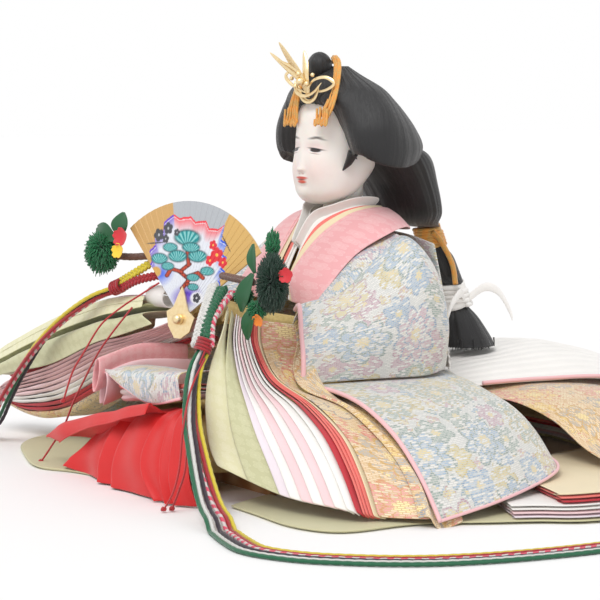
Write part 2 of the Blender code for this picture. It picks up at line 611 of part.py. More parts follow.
def make_hems():
    for name, finish, first, last, run in HEM_RUN_SHARES:
        low = GAP + first * LAYER
        high = GAP + (last - 1) * LAYER + CLOTH

        def build(shape):
            add_slab(shape, hem_band(high, first, run, 46), hem_band(low, first, run, 46))
        mesh_object(name, build, finish)


TRAIN_SHARES = [
    [(0.0, 0.38, 0.44), (0.0, 0.80, 0.49), (0.0, 1.20, 0.52), (0.0, 1.62, 0.38), (0.0, 1.92, 0.17)],
    [(0.30, 0.40, 0.44), (0.32, 0.80, 0.47), (0.30, 1.20, 0.42), (0.22, 1.60, 0.29), (0.15, 1.91, 0.17)],
    [(0.50, 0.43, 0.43), (0.56, 0.75, 0.46), (0.52, 1.15, 0.40), (0.40, 1.55, 0.27), (0.26, 1.89, 0.165)],
    [(0.66, 0.46, 0.35), (0.78, 0.72, 0.37), (0.72, 1.12, 0.32), (0.55, 1.50, 0.22), (0.37, 1.86, 0.165)],
    [(0.80, 0.48, 0.22), (0.86, 0.70, 0.21), (0.80, 1.10, 0.20), (0.62, 1.48, 0.17), (0.46, 1.82, 0.16)],
    [(1.02, 0.48, 0.138), (1.06, 0.65, 0.138), (0.97, 1.20, 0.138), (0.75, 1.62, 0.138), (0.56, 1.84, 0.138)],
]
MO_SHARES = [
    [(0.0, 0.40, 0.535), (0.0, 0.75, 0.575), (0.0, 1.20, 0.62), (0.0, 1.65, 0.46), (0.0, 2.0, 0.22)],
    [(0.18, 0.40, 0.53), (0.20, 0.75, 0.57), (0.22, 1.15, 0.58), (0.20, 1.62, 0.42), (0.16, 1.99, 0.22)],
    [(0.34, 0.40, 0.485), (0.38, 0.75, 0.49), (0.42, 1.15, 0.47), (0.38, 1.58, 0.33), (0.28, 1.97, 0.22)],
]


def make_train():
    right = [line(row, -1) for row in TRAIN_SHARES[:0:-1]]
    sheet("train_gold", right + [line(row) for row in TRAIN_SHARES], GOLD_BROCADE, steps=(17, 9))
    right = [line(row, -1) for row in MO_SHARES[:0:-1]]
    sheet("mo", right + [line(row) for row in MO_SHARES], WHITE, steps=(11, 10))


WAIST_SHARES = [
    [(-0.36, 0.215, 0.70), (-0.24, 0.325, 0.69), (0.0, 0.352, 0.69), (0.24, 0.325, 0.69), (0.36, 0.215, 0.70)],
    [(-0.36, 0.225, 0.585), (-0.24, 0.345, 0.573), (0.0, 0.38, 0.57), (0.24, 0.345, 0.573), (0.36, 0.225, 0.585)],
]


def make_waist():
    sheet("waist_tie", [line(row) for row in WAIST_SHARES], WHITE, steps=(3, 12))


# Head, hair and ornaments

FACE_SHARES = [
    # height in face heights over the chin; half width, front and back in head widths and depths
    (0.00, 0.10, -0.38, -0.24), (0.04, 0.20, -0.43, -0.16), (0.12, 0.31, -0.46, -0.02),
    (0.25, 0.40, -0.47, 0.16), (0.40, 0.46, -0.48, 0.32), (0.58, 0.50, -0.46, 0.44),
    (0.78, 0.50, -0.46, 0.50), (0.98, 0.48, -0.44, 0.50), (1.16, 0.40, -0.34, 0.44),
    (1.28, 0.27, -0.20, 0.32), (1.34, 0.10, -0.04, 0.16),
]


def head_rings(grow=0.0):
    rings = []
    for height, half, front, back in FACE_SHARES:
        z = CHIN_Z + height * FACE_HEIGHT
        if height == 0:
            z -= grow
        if height == FACE_SHARES[-1][0]:
            z += grow
        middle = (front + back) / 2 * HEAD_DEPTH
        rings.append(ellipse((0, middle, z), half * HEAD_WIDTH + grow,
                             (back - front) / 2 * HEAD_DEPTH + grow, 20))
    return rings


NECK_SHARE = 0.21
NECK_Y_SHARE = -0.02


def make_head():
    head = loft("head", head_rings(), SKIN)
    radius = NECK_SHARE * HEAD_WIDTH
    y = NECK_Y_SHARE * HEAD_DEPTH
    low = TORSO_TOP + GAP
    neck = loft("cut_neck", [ellipse((0, y, low), radius * 1.15, radius * 1.15),
                             ellipse((0, y, CHIN_Z + FACE_HEIGHT / 3), radius, radius)], SKIN)
    cut(head, neck, "UNION")
    bore = PEG_RADIUS + PEG_CLEARANCE
    cut(head, loft("cut_neck_hole", [ellipse((0, 0, low - PEG_GRIP), bore, bore),
                                     ellipse((0, 0, low + PEG_GRIP + PEG_CLEARANCE), bore, bore)], SKIN))
    loft("neck_peg", [ellipse((0, 0, TORSO_TOP - PEG_LENGTH), PEG_RADIUS, PEG_RADIUS),
                      ellipse((0, 0, low + PEG_GRIP), PEG_RADIUS, PEG_RADIUS)], PINE)


HAIR_BOTTOM_SHARE = 0.45    # lowest point of the wings, in face heights over the chin
WING_SHARES = [
    (0.00, [(0.00, 0.16), (0.15, 0.10), (0.27, -0.12), (0.345, -0.23), (0.45, -0.05), (0.43, 0.14),
            (0.30, 0.50), (0.0, 0.66)]),
    (0.15, [(0.00, 0.00), (0.15, -0.06), (0.27, -0.16), (0.345, -0.235), (0.455, -0.06), (0.44, 0.14),
            (0.31, 0.46), (0.0, 0.62)]),
    (0.35, [(0.00, -0.12), (0.15, -0.17), (0.27, -0.22), (0.34, -0.235), (0.45, -0.06), (0.43, 0.14),
            (0.30, 0.38), (0.0, 0.52)]),
    (0.56, [(0.00, -0.31), (0.14, -0.29), (0.26, -0.25), (0.33, -0.21), (0.41, -0.05), (0.38, 0.13),
            (0.25, 0.26), (0.0, 0.36)]),
    (0.74, [(0.00, -0.30), (0.12, -0.28), (0.22, -0.24), (0.28, -0.19), (0.33, -0.06), (0.30, 0.07),
            (0.20, 0.17), (0.0, 0.24)]),
    (0.88, [(0.00, -0.24), (0.07, -0.22), (0.12, -0.18), (0.16, -0.12), (0.18, -0.05), (0.16, 0.02),
            (0.10, 0.07), (0.0, 0.10)]),
    (0.98, [(0.00, -0.12), (0.03, -0.11), (0.05, -0.09), (0.07, -0.06), (0.08, -0.03), (0.07, 0.00),
            (0.04, 0.02), (0.0, 0.03)]),
]
TOPKNOT_PLACE_SHARE = (0.0, -0.185, 0.98)
TOPKNOT_SHARES = (0.060, 0.097, 0.147)  # half sizes in hair width, depth and rise
# Height over the wings' lowest point, middle, half width and half depth, in hair sizes
FALL_SHARES = [
    (0.45, 0.21, 0.287, 0.27), (0.21, 0.313, 0.319, 0.29), (0.055, 0.376, 0.319, 0.29),
    (-0.233, 0.52, 0.287, 0.226),
    (-0.522, 0.615, 0.255, 0.19), (-0.66, 0.685, 0.16, 0.16), (-0.704, 0.80, 0.085, 0.11),
]


def hair_place(share, height):
    z = CHIN_Z + HAIR_BOTTOM_SHARE * FACE_HEIGHT + height * HAIR_RISE
    return Vector((share[0] * HAIR_WIDTH, share[1] * HAIR_DEPTH, z))


def cap_rings(lift=0.0):
    rings = []
    count = 28
    for height, half in WING_SHARES:
        loop = [hair_place(share, height) for share in half]
        loop += [hair_place((-share[0], share[1]), height) for share in reversed(half[1:-1])]
        closed = loop + [loop[0]]
        rings.append([curve_at(closed, k / count) + Vector((0, 0, lift)) for k in range(count)])
    return rings


def make_hair():
    hair = loft("hair_main", cap_rings(), HAIR)
    falls = []
    for height, middle, half, deep in FALL_SHARES:
        falls.append(ellipse(hair_place((0, middle), height), half * HAIR_WIDTH, deep * HAIR_DEPTH, 20))
    cut(hair, loft("cut_hair_fall", list(reversed(falls)), HAIR), "UNION")
    width, depth, rise = TOPKNOT_SHARES
    x, y, height = TOPKNOT_PLACE_SHARE

    def build_knot(shape):
        ball(shape, hair_place((x, y), height),
             (width * HAIR_WIDTH, depth * HAIR_DEPTH, rise * HAIR_RISE), 14, 8)
    cut(hair, mesh_object("cut_topknot", build_knot, HAIR), "UNION")
    cut(hair, loft("cut_hair_head", head_rings(GAP), SKIN))


# Gathered hair: middle, height over the wings' lowest point and radius, in hair sizes
GATHERED_SHARES = {
    "hair_tie_gold": (GILT, [(0.823, -0.713, 0.073), (0.871, -0.918, 0.073)]),
    "hair_lower": (HAIR, [(0.876, -0.924, 0.064), (0.919, -1.056, 0.089), (0.968, -1.211, 0.092),
                          (1.04, -1.333, 0.077)]),
    "hair_tie_white": (WHITE, [(1.048, -1.340, 0.085), (1.113, -1.578, 0.081)]),
    "hair_tail": (HAIR, [(1.118, -1.585, 0.069), (1.153, -1.744, 0.106), (1.194, -1.922, 0.144),
                         (1.21, -2.011, 0.154)]),
}


def make_gathered_hair():
    for name, (finish, shares) in GATHERED_SHARES.items():
        rings = [ellipse(hair_place((0, middle), height), radius * HAIR_WIDTH, radius * HAIR_WIDTH, 14)
                 for middle, height, radius in shares]
        loft(name, rings[::-1], finish)


TIARA_PLACE_SHARE = (0.0, -0.316, 0.668)
TIARA_LEAN = Vector((0, -0.62, 0.785))
TIARA_THICKNESS = 0.0010
# Outline of the tiara: across and along its lean, in face heights
TIARA_SHARES = [(-0.06, 0.0), (0.12, 0.0), (0.24, 0.18), (0.20, 0.36), (0.34, 0.66), (0.20, 0.56),
                (0.18, 0.84),
                (0.09, 0.50), (0.02, 0.80), (-0.02, 0.50), (-0.16, 0.52), (-0.09, 0.34), (-0.14, 0.16)]
FOREHEAD_CORD_SHARES = [(-0.13, -0.36, 0.40), (-0.145, -0.385, 0.62), (-0.135, -0.34, 0.80),
                        (-0.10, -0.27, 0.93),
                        (-0.085, -0.17, 0.985), (-0.05, -0.045, 1.02), (0.05, -0.045, 1.02),
                        (0.085, -0.17, 0.985),
                        (0.10, -0.27, 0.93), (0.135, -0.34, 0.80), (0.145, -0.385, 0.62),
                        (0.13, -0.36, 0.38)]
FOREHEAD_CORD_DIAMETER = 0.0022


def make_hair_ornaments():
    def build_tiara(shape):
        x, y, height = TIARA_PLACE_SHARE
        base = hair_place((x, y), height)
        across = Vector((FACE_HEIGHT, 0, 0))
        front = across.cross(TIARA_LEAN).normalized() * TIARA_THICKNESS
        low = [base + across * a + TIARA_LEAN * FACE_HEIGHT * b for a, b in TIARA_SHARES]
        add_loft(shape, [low, [p + front for p in low]])
    mesh_object("tiara", build_tiara, GILT, smooth=False)
    route = [hair_place(share, share[2]) for share in FOREHEAD_CORD_SHARES]
    cord_curve("forehead_cord", [route], FOREHEAD_CORD_DIAMETER, ORANGE_SILK, points=34)


# Fan on its rivet, with silk ornaments on both guards

FAN_PIVOT = at(PIVOT_SHARE)
FACING = Vector((math.sin(FAN_YAW), -math.cos(FAN_YAW), 0))
FAN_NORMAL = FACING * math.cos(FAN_LEAN) + Vector((0, 0, math.sin(FAN_LEAN)))
FAN_ACROSS = Vector((math.cos(FAN_YAW), math.sin(FAN_YAW), 0))
FAN_UP = FAN_NORMAL.cross(FAN_ACROSS)
LEAF_FOOT_SHARE = 0.085     # radius of the leaf round its rivet, in fan radii


def fan_place(x, y, out=0.0):
    return FAN_PIVOT + FAN_ACROSS * x + FAN_UP * y + FAN_NORMAL * out


def leaf_outline():
    """Points round the open leaf: its rim, then round the rivet."""
    half = FAN_OPENING / 2
    rim = [(FAN_RADIUS, turn) for turn in shares_between(FAN_ROLL - half, FAN_ROLL + half, 25)]
    foot = shares_between(FAN_ROLL + half, FAN_ROLL - half + 2 * math.pi, 9)[1:-1]
    return rim + [(LEAF_FOOT_SHARE * FAN_RADIUS, turn) for turn in foot]


def make_fan():
    def build(shape):
        outline = leaf_outline()
        low = [fan_place(r * math.sin(turn), r * math.cos(turn),
                         -LEAF_THICKNESS / 2) for r, turn in outline]
        add_loft(shape, [low, [p + FAN_NORMAL * LEAF_THICKNESS for p in low]])
    leaf = mesh_object("fan_leaf", build, FAN_WOOD, smooth=False)

    def build_hole(shape):
        rod(shape, fan_place(0, 0, -CORD_DIAMETER), fan_place(0, 0, CORD_DIAMETER),
            RIVET_RADIUS + GAP, 12)
    cut(leaf, mesh_object("cut_rivet_hole", build_hole, FAN_WOOD))

    def build_plate(shape):
        low = [fan_place(x * FAN_RADIUS, y * FAN_RADIUS, LEAF_THICKNESS / 2 + GAP) for x,
               y in PLATE_SHARES]
        add_loft(shape, [low, [p + FAN_NORMAL * LEAF_THICKNESS for p in low]])
    plate = mesh_object("fan_plate", build_plate, GILT, smooth=False)

    def build_rivet(shape):
        rod(shape, fan_place(0, 0, -LEAF_THICKNESS), fan_place(0, 0, 3 * LEAF_THICKNESS),
            RIVET_RADIUS, 12)
    cut(plate, mesh_object("cut_rivet", build_rivet, GILT), "UNION")


PLATE_SHARES = [(0.03, -0.16), (0.12, -0.10), (0.16, 0.02), (0.08, 0.08), (0.04, 0.20), (0.0, 0.28),
                (-0.04, 0.20), (-0.08, 0.10), (-0.15, 0.06), (-0.12, -0.06), (-0.04, -0.16)]

# Place across, up and out, then three half sizes, all in fan radii
ORNAMENT_SHARES = {
    "right": [((-0.95, 0.52, 0.0), (0.17, 0.19, 0.12)), ((-0.84, 0.76, 0.0), (0.14, 0.11, 0.03)),
             ((-0.73, 0.68, 0.05), (0.07, 0.06, 0.05))],
    "left": [((1.14, 0.24, 0.28), (0.18, 0.21, 0.15)), ((1.10, 0.50, 0.28), (0.09, 0.14, 0.07)),
              ((0.90, 0.20, 0.25), (0.12, 0.08, 0.06)), ((1.01, 0.05, 0.27), (0.07, 0.09, 0.05))],
}
STEM_SHARES = {"right": [(-0.90, 0.54, -0.02), (-0.46, 0.52, -0.062)],
               "left": [(0.50, 0.40, 0.058), (1.05, 0.33, 0.25)]}


def make_ornaments():
    turn = Matrix((FAN_ACROSS, FAN_UP, FAN_NORMAL)).transposed().to_4x4()
    for side_name, shares in ORNAMENT_SHARES.items():
        thing = None
        for place, sizes in shares:
            def build(shape):
                centre = fan_place(*(FAN_RADIUS * share for share in place))
                ball(shape, centre, [FAN_RADIUS * size for size in sizes], 10, 6, turn)
            if thing:
                cut(thing, mesh_object("cut_ornament", build, TASSEL_GREEN), "UNION")
            else:
                thing = mesh_object("ornament_" + side_name, build, TASSEL_GREEN)

        def build_stem(shape):
            ends = [fan_place(*(FAN_RADIUS * share for share in end)) for end in STEM_SHARES[side_name]]
            rod(shape, *ends, CORD_DIAMETER, 8)
        cut(thing, mesh_object("cut_stem_" + side_name, build_stem, PINE), "UNION")


# Cords of the fan: routes in metres, chosen by hand; each row is the middle of the bundle

CORDS_LEFT = [
    (0.0485, -0.1040, 0.0640), (0.0490, -0.1075, 0.0590), (0.0520, -0.1115, 0.0525),
    (0.0575, -0.1155, 0.0450),
    (0.0645, -0.1195, 0.0360), (0.0735, -0.1230, 0.0275), (0.0840, -0.1265, 0.0175),
    (0.0950, -0.1295, 0.0085),
    (0.1090, -0.1330, 0.0040), (0.1290, -0.1390, 0.0026), (0.1480, -0.1420, 0.0026),
    (0.1670, -0.1345, 0.0026),
    (0.1810, -0.1223, 0.0026), (0.1927, -0.1084, 0.0026), (0.2019, -0.0925, 0.0026),
    (0.2105, -0.0674, 0.0026),
    (0.2165, -0.0343, 0.0026), (0.2170, -0.0050, 0.0026), (0.2140, 0.0180, 0.0026),
]
CORDS_RIGHT = [
    (-0.0440, -0.0935, 0.0830), (-0.0568, -0.0995, 0.0779), (-0.0757, -0.1045, 0.0673),
    (-0.0943, -0.1085, 0.0536),
    (-0.1134, -0.1100, 0.0371), (-0.1275, -0.1115, 0.0222), (-0.1400, -0.1125, 0.0090),
    (-0.1520, -0.1150, 0.0040),
    (-0.1660, -0.1210, 0.0026), (-0.1790, -0.1330, 0.0026), (-0.1810, -0.1500, 0.0026),
    (-0.1680, -0.1620, 0.0026),
    (-0.1480, -0.1640, 0.0026), (-0.1270, -0.1560, 0.0026), (-0.1090, -0.1540, 0.0026),
]
BRAID_LEFT = [(0.0329, -0.0806, 0.0915), (0.0345, -0.0915, 0.0835), (0.0400, -0.0975, 0.0755),
              (0.0478, -0.1030, 0.0660)]
BRAID_RIGHT = [(-0.0250, -0.0910, 0.0958), (-0.0310, -0.0935, 0.0920), (-0.0365, -0.0940, 0.0885),
               (-0.0428, -0.0939, 0.0844)]
THREADS = {
    "thread_left": [(0.0560, -0.1080, 0.0620), (0.0570, -0.1140, 0.0530), (0.0600, -0.1190, 0.0450),
                    (0.0660, -0.1250, 0.0340),
                    (0.0698, -0.1290, 0.0195), (0.0680, -0.1310, 0.0093), (0.0620, -0.1320, 0.0012)],
    "thread_right": [(-0.0137, -0.0894, 0.0876), (-0.0200, -0.0955, 0.0820),
                     (-0.0255, -0.1010, 0.0770), (-0.0299, -0.1080, 0.0705),
                     (-0.0336, -0.1110, 0.0649), (-0.0375, -0.1150, 0.0557),
                     (-0.0394, -0.1200, 0.0467), (-0.0414, -0.1240, 0.0331)],
}


def make_cords():
    for name, middle in (("cords_left", CORDS_LEFT), ("cords_right", CORDS_RIGHT)):
        cord_curve(name, [[Vector(p) for p in middle]], BUNDLE_DIAMETER, PALE_PINK, points=54)
    for name, middle in (("braid_left", BRAID_LEFT), ("braid_right", BRAID_RIGHT)):
        cord_curve(name, [[Vector(p) for p in middle]], BRAID_DIAMETER, TASSEL_GREEN, points=8)
    for name, middle in THREADS.items():
        cord_curve(name, [[Vector(p) for p in middle]], THREAD_DIAMETER, CORAL, points=22)


make_base()
make_body()
make_hands()
make_jacket()
make_left_sleeve()
make_right_sleeve()
make_lap_robes()
make_hakama()
make_hems()
make_train()
make_waist()
make_head()
make_hair()
make_gathered_hair()
make_hair_ornaments()
make_fan()
make_ornaments()
make_cords()
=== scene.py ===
# %% [markdown]
# # A seated court lady doll, dressed in Blender
# The real doll is a straw body on a small board, wrapped in layer over layer of thin
# silk. The CAD model has every layer as a plain solid. Here each soft solid is replaced
# by a thin cloth, a cord or combed hair, in the same place.

# %% Load the frame
import math

import bpy
import numpy as np
from mathutils import Matrix, Vector, noise


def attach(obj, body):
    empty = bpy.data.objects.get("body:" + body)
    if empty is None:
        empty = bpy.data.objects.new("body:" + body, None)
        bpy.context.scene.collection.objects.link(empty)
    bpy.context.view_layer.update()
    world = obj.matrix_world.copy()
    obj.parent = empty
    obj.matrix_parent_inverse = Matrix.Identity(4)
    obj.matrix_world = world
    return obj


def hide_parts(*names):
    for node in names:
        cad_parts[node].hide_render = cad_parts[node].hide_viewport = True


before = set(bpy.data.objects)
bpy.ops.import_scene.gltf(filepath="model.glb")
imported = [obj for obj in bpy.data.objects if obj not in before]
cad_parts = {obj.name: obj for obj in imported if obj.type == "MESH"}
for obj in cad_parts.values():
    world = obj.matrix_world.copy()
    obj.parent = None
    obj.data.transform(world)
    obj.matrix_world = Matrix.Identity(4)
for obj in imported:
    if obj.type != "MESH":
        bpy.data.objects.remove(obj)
bpy.ops.object.select_all(action="DESELECT")
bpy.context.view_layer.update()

# %% [markdown]
# ## Camera
# A product picture like this is taken from about a metre away with a long lens, so the
# far sleeve is hardly smaller than the near one. The camera stands at head height, to
# the doll's left, and its long lens is worked out from the picture's width in pixels.

# %% Camera
PICTURE_WIDTH = 600
FOCAL_PIXELS = 2150
CAMERA_AZIMUTH = math.radians(55)
CAMERA_DISTANCE = 1.0
CAMERA_HEIGHT = 0.1746
NECK_COLUMN = 340
HORIZON_ROW = 88

ahead = Vector((-math.sin(CAMERA_AZIMUTH), math.cos(CAMERA_AZIMUTH), 0))
aside = Vector((math.cos(CAMERA_AZIMUTH), math.sin(CAMERA_AZIMUTH), 0))
yaw = math.atan((PICTURE_WIDTH / 2 - NECK_COLUMN) / FOCAL_PIXELS)
pitch = math.atan((PICTURE_WIDTH / 2 - HORIZON_ROW) / FOCAL_PIXELS)
look = ahead * math.cos(yaw) + aside * math.sin(yaw)
look = look * math.cos(pitch) - Vector((0, 0, math.sin(pitch)))
bpy.ops.object.camera_add(location=-ahead * CAMERA_DISTANCE + Vector((0, 0, CAMERA_HEIGHT)),
                          rotation=look.to_track_quat("-Z", "Y").to_euler())
camera = bpy.context.object
camera.data.sensor_width = 36
camera.data.lens = camera.data.sensor_width * FOCAL_PIXELS / PICTURE_WIDTH
bpy.context.scene.camera = camera
bpy.context.scene.view_settings.view_transform = "Standard"
print("lens", round(camera.data.lens), "mm")

# %% [markdown]
# ## Colours and nodes
# Colours are written as hex values, as a paint program gives them. Blender counts light
# in a straight line and a screen doesn't, so one function turns a hex value into linear
# numbers. A second one adds a node with its settings and links. The others lay one
# colour over another, start a material and finish it with its relief, so that the
# materials below are short enough to read.

# %% Colours and nodes
def linear(code):
    """Linear colour of a hex value such as #d9a648."""
    parts = [int(code[i:i + 2], 16) / 255 for i in (1, 3, 5)]
    return tuple(c / 12.92 if c <= 0.04045 else ((c + 0.055) / 1.055) ** 2.4 for c in parts) + (1.0,)


def add(tree, kind, inputs=None, **settings):
    """Add a shader node of this kind, set its properties, and give its inputs a value or a link."""
    made = tree.nodes.new("ShaderNode" + kind)
    for key, value in settings.items():
        setattr(made, key, value)
    for key, value in (inputs or {}).items():
        if isinstance(value, bpy.types.NodeSocket):
            tree.links.new(value, made.inputs[key])
        else:
            made.inputs[key].default_value = linear(value) if isinstance(value, str) else value
    return made


def shade(code, factor):
    """A hex colour made lighter or darker by a factor, in linear numbers."""
    return tuple(min(1.0, c * factor) for c in linear(code)[:3]) + (1,)


def painted(tree, below, mask, above, strength=1.0):
    """The colour below, with the one above laid over it by a mask and a strength."""
    if strength != 1.0:
        mask = add(tree, "Math", {0: mask, 1: strength}, operation="MULTIPLY").outputs[0]
    return add(tree, "Mix", {0: mask, 6: below, 7: above}, data_type="RGBA").outputs[2]


def new_finish(name, **sockets):
    """A material with one Principled shader, and those of its sockets that are the same all over."""
    finish = bpy.data.materials.new(name)
    finish.use_nodes = True
    tree = finish.node_tree
    for key, value in sockets.items():
        tree.nodes["Principled BSDF"].inputs[key.replace("_", " ")].default_value = value
    return finish, tree


def coat(tree, colour, height, strength, distance):
    """Give a material its colour, and the fine relief that catches the light."""
    shader = tree.nodes["Principled BSDF"]
    tree.links.new(colour, shader.inputs["Base Color"])
    relief = add(tree, "Bump", {"Height": height, "Strength": strength, "Distance": distance})
    tree.links.new(relief.outputs[0], shader.inputs["Normal"])


# %% [markdown]
# ## Light and floor
# The picture has soft studio light and a white ground. The world lights everything
# evenly, and one wide sun from the camera's left gives the folds their shade. What the
# camera itself sees of the world is white at strength 1.

# %% Light and floor
world = bpy.data.worlds.new("studio")
bpy.context.scene.world = world
world.use_nodes = True
sky = world.node_tree
for old in list(sky.nodes):
    sky.nodes.remove(old)
path = add(sky, "LightPath")
seen = add(sky, "Math", {0: path.outputs["Is Camera Ray"], 1: path.outputs["Is Glossy Ray"]},
           operation="MAXIMUM")
seen = add(sky, "Math", {0: seen.outputs[0], 1: path.outputs["Is Transmission Ray"]},
           operation="MAXIMUM")
dim = add(sky, "Background", {"Color": "#ffffff", "Strength": 0.74})
white = add(sky, "Background", {"Color": "#ffffff", "Strength": 1.0})
both = add(sky, "MixShader", {0: seen.outputs[0], 1: dim.outputs[0], 2: white.outputs[0]})
add(sky, "OutputWorld", {"Surface": both.outputs[0]})

bpy.ops.object.light_add(type="SUN", rotation=(math.radians(40), math.radians(4), math.radians(30)))
sun = bpy.context.object
sun.data.energy = 1.55
sun.data.angle = math.radians(28)

bpy.ops.mesh.primitive_plane_add(size=12)
floor = bpy.context.object
floor.name = "studio_floor"
paper = new_finish("white_backdrop_paper", Base_Color=linear("#f6f5f5"), Roughness=0.9,
                   Specular_IOR_Level=0.1)[0]
floor.data.materials.append(paper)

# %% [markdown]
# ## Smooth curves and surfaces
# Cloth and cords are given by a few listed points. A smooth curve passes through
# all of them, and a surface passes through several such curves. The places of the cloth
# are shares of three sizes of the doll, as in the CAD model, written in hundredths.

# %% Curves and surfaces
SLEEVE_REACH = 0.150
GARMENT_DEPTH = 0.100
FOREARM_HEIGHT = 0.080
BODY_SIZES = np.array((SLEEVE_REACH, GARMENT_DEPTH, FOREARM_HEIGHT))


def smooth(points, shares):
    """Places at these shares (0 to 1) of the smooth curve through the points."""
    points = np.asarray(points, float)
    last = len(points) - 1
    place = np.clip(np.asarray(shares, float), 0, 1) * last
    i = np.minimum(place.astype(int), last - 1)
    f = (place - i).reshape(-1, *[1] * (points.ndim - 1))
    padded = np.concatenate([2 * points[:1] - points[1:2], points, 2 * points[-1:] - points[-2:-1]])
    a, b, c, d = (padded[i + k] for k in range(4))
    return 0.5 * (2 * b + (c - a) * f + (2 * a - 5 * b + 4 * c - d) * f ** 2
                  + (3 * b - a - 3 * c + d) * f ** 3)


def lines_of(shares, side=1):
    """Control lines in metres; side -1 mirrors them to the doll's right."""
    lines = np.array(shares, float) / 100 * BODY_SIZES
    lines[..., 0] *= side
    return lines


def surface(lines, us, vs):
    """Grid of places on the surface through the lines: us across them, vs along them."""
    along = smooth(np.swapaxes(np.asarray(lines, float), 0, 1), vs)
    return smooth(np.swapaxes(along, 0, 1), us)


def unit(ways):
    """The same directions, each of length 1."""
    return ways / np.maximum(np.linalg.norm(ways, axis=-1, keepdims=True), 1e-12)


def distances(path):
    """How far along a path each of its places is."""
    return np.concatenate([[0], np.cumsum(np.linalg.norm(np.diff(path, axis=0), axis=1))])


def ripple(grid, size, seed=0.0):
    """Gentle unevenness from -1 to 1 for every place of a grid, of about this size in metres."""
    flat = grid.reshape(-1, 3) / size
    values = [noise.noise(Vector((x + seed, y - seed, z + 2 * seed))) for x, y, z in flat]
    return np.array(values).reshape(grid.shape[:2]) * 1.6


# %% [markdown]
# ## Cords
# Long twisted silk cords hang from both ends of the fan and run over the floor. Each is
# two plies laid round each other, so its outline has a small wave that turns as it goes.
# A tube with a two-lobed ring that turns along the route gives that lay in real
# geometry, which a smooth tube with a bump could not at its edges.

# %% Cord geometry
CORD_DIAMETER = 0.0018
RING_POINTS = 10


def spaced(route, step):
    """Points about one step apart along the smooth curve through the route."""
    fine = smooth(route, np.linspace(0, 1, 60 * len(route)))
    lengths = distances(fine)
    count = max(int(round(lengths[-1] / step)), 2)
    wanted = np.linspace(0, lengths[-1], count + 1)
    return np.stack([np.interp(wanted, lengths, fine[:, k]) for k in range(3)], axis=1), lengths[-1]


def tube_faces(count, ring):
    """Faces between rings of points, and one over each end."""
    faces = [(a * ring + b, a * ring + (b + 1) % ring, (a + 1) * ring + (b + 1) % ring, (a + 1) * ring + b)
             for a in range(count - 1) for b in range(ring)]
    return faces + [tuple(range(ring))[::-1], tuple((count - 1) * ring + b for b in range(ring))]


def place_mesh(name, points, faces, finish=None, uv=None):
    """A new smooth mesh object, with UV values in metres for each point if given."""
    mesh = bpy.data.meshes.new(name)
    mesh.from_pydata([tuple(p) for p in points], [], faces)
    mesh.update()
    thing = bpy.data.objects.new(name, mesh)
    bpy.context.collection.objects.link(thing)
    if uv is not None:
        layer = mesh.uv_layers.new(name="cloth")
        index = np.empty(len(mesh.loops), int)
        mesh.loops.foreach_get("vertex_index", index)
        layer.data.foreach_set("uv", np.asarray(uv, np.float32)[index].ravel())
    mesh.shade_smooth()
    if finish:
        mesh.materials.append(finish)
    return thing


def tube(name, route, diameter, finish, step=None, lobes=0, lay=0.004, depth=0.16, ring=RING_POINTS,
         widths=None):
    """A closed tube along a route; lobes turn round it once in each lay, like the plies of a cord."""
    path, length = spaced(route, step or diameter * 0.35)
    ahead = unit(np.gradient(path, axis=0))
    side = np.cross(ahead[0], (0.0, 0.0, 1.0) if abs(ahead[0][2]) < 0.9 else (1.0, 0.0, 0.0))
    points, uv = [], []
    gone = distances(path)
    for k, centre in enumerate(path):
        side = unit(side - ahead[k] * side.dot(ahead[k]))
        up = np.cross(ahead[k], side)
        turn = 2 * math.pi * gone[k] / lay
        wide = 1.0 if widths is None else float(np.interp(k / (len(path) - 1), *widths))
        for b in range(ring):
            angle = 2 * math.pi * b / ring
            lobe = depth * (abs(math.cos(lobes * (angle - turn) / 2)) - 0.75) if lobes else 0
            radius = diameter / 2 * wide * (1 + lobe)
            points.append(centre + radius * (math.cos(angle) * side + math.sin(angle) * up))
            uv.append((diameter * math.pi * b / ring, gone[k]))
    thing = place_mesh(name, points, tube_faces(len(path), ring), finish, uv)
    return thing, path, length


def together(name, things):
    """Join finished pieces into one object with the name given."""
    bpy.ops.object.select_all(action="DESELECT")
    for thing in things:
        thing.select_set(True)
    bpy.context.view_layer.objects.active = things[0]
    if len(things) > 1:
        bpy.ops.object.join()
    things[0].name = name
    things[0].data.name = name
    bpy.ops.object.select_all(action="DESELECT")
    return things[0]


def finished(name, things, node, body="figure"):
    """Join the parts of a piece that rides a body and takes the place of a CAD node."""
    piece = together(name, things)
    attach(piece, body)
    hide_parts(node)
    print(name, len(piece.data.polygons), "faces")
    return piece


# %% [markdown]
# The cord's silk is fine, so its sheen runs along the thread. Its colour gets painted
# shade: darker tiny slanted lines between the yarns, drawn a little coarser than real so
# that they show.

# %% Cord finishes
YARN_PITCH = 0.00045
PLY_PITCH = 0.0042
WAVE_OF_ONE = 0.314      # scale at which the wave texture's bands are a metre apart


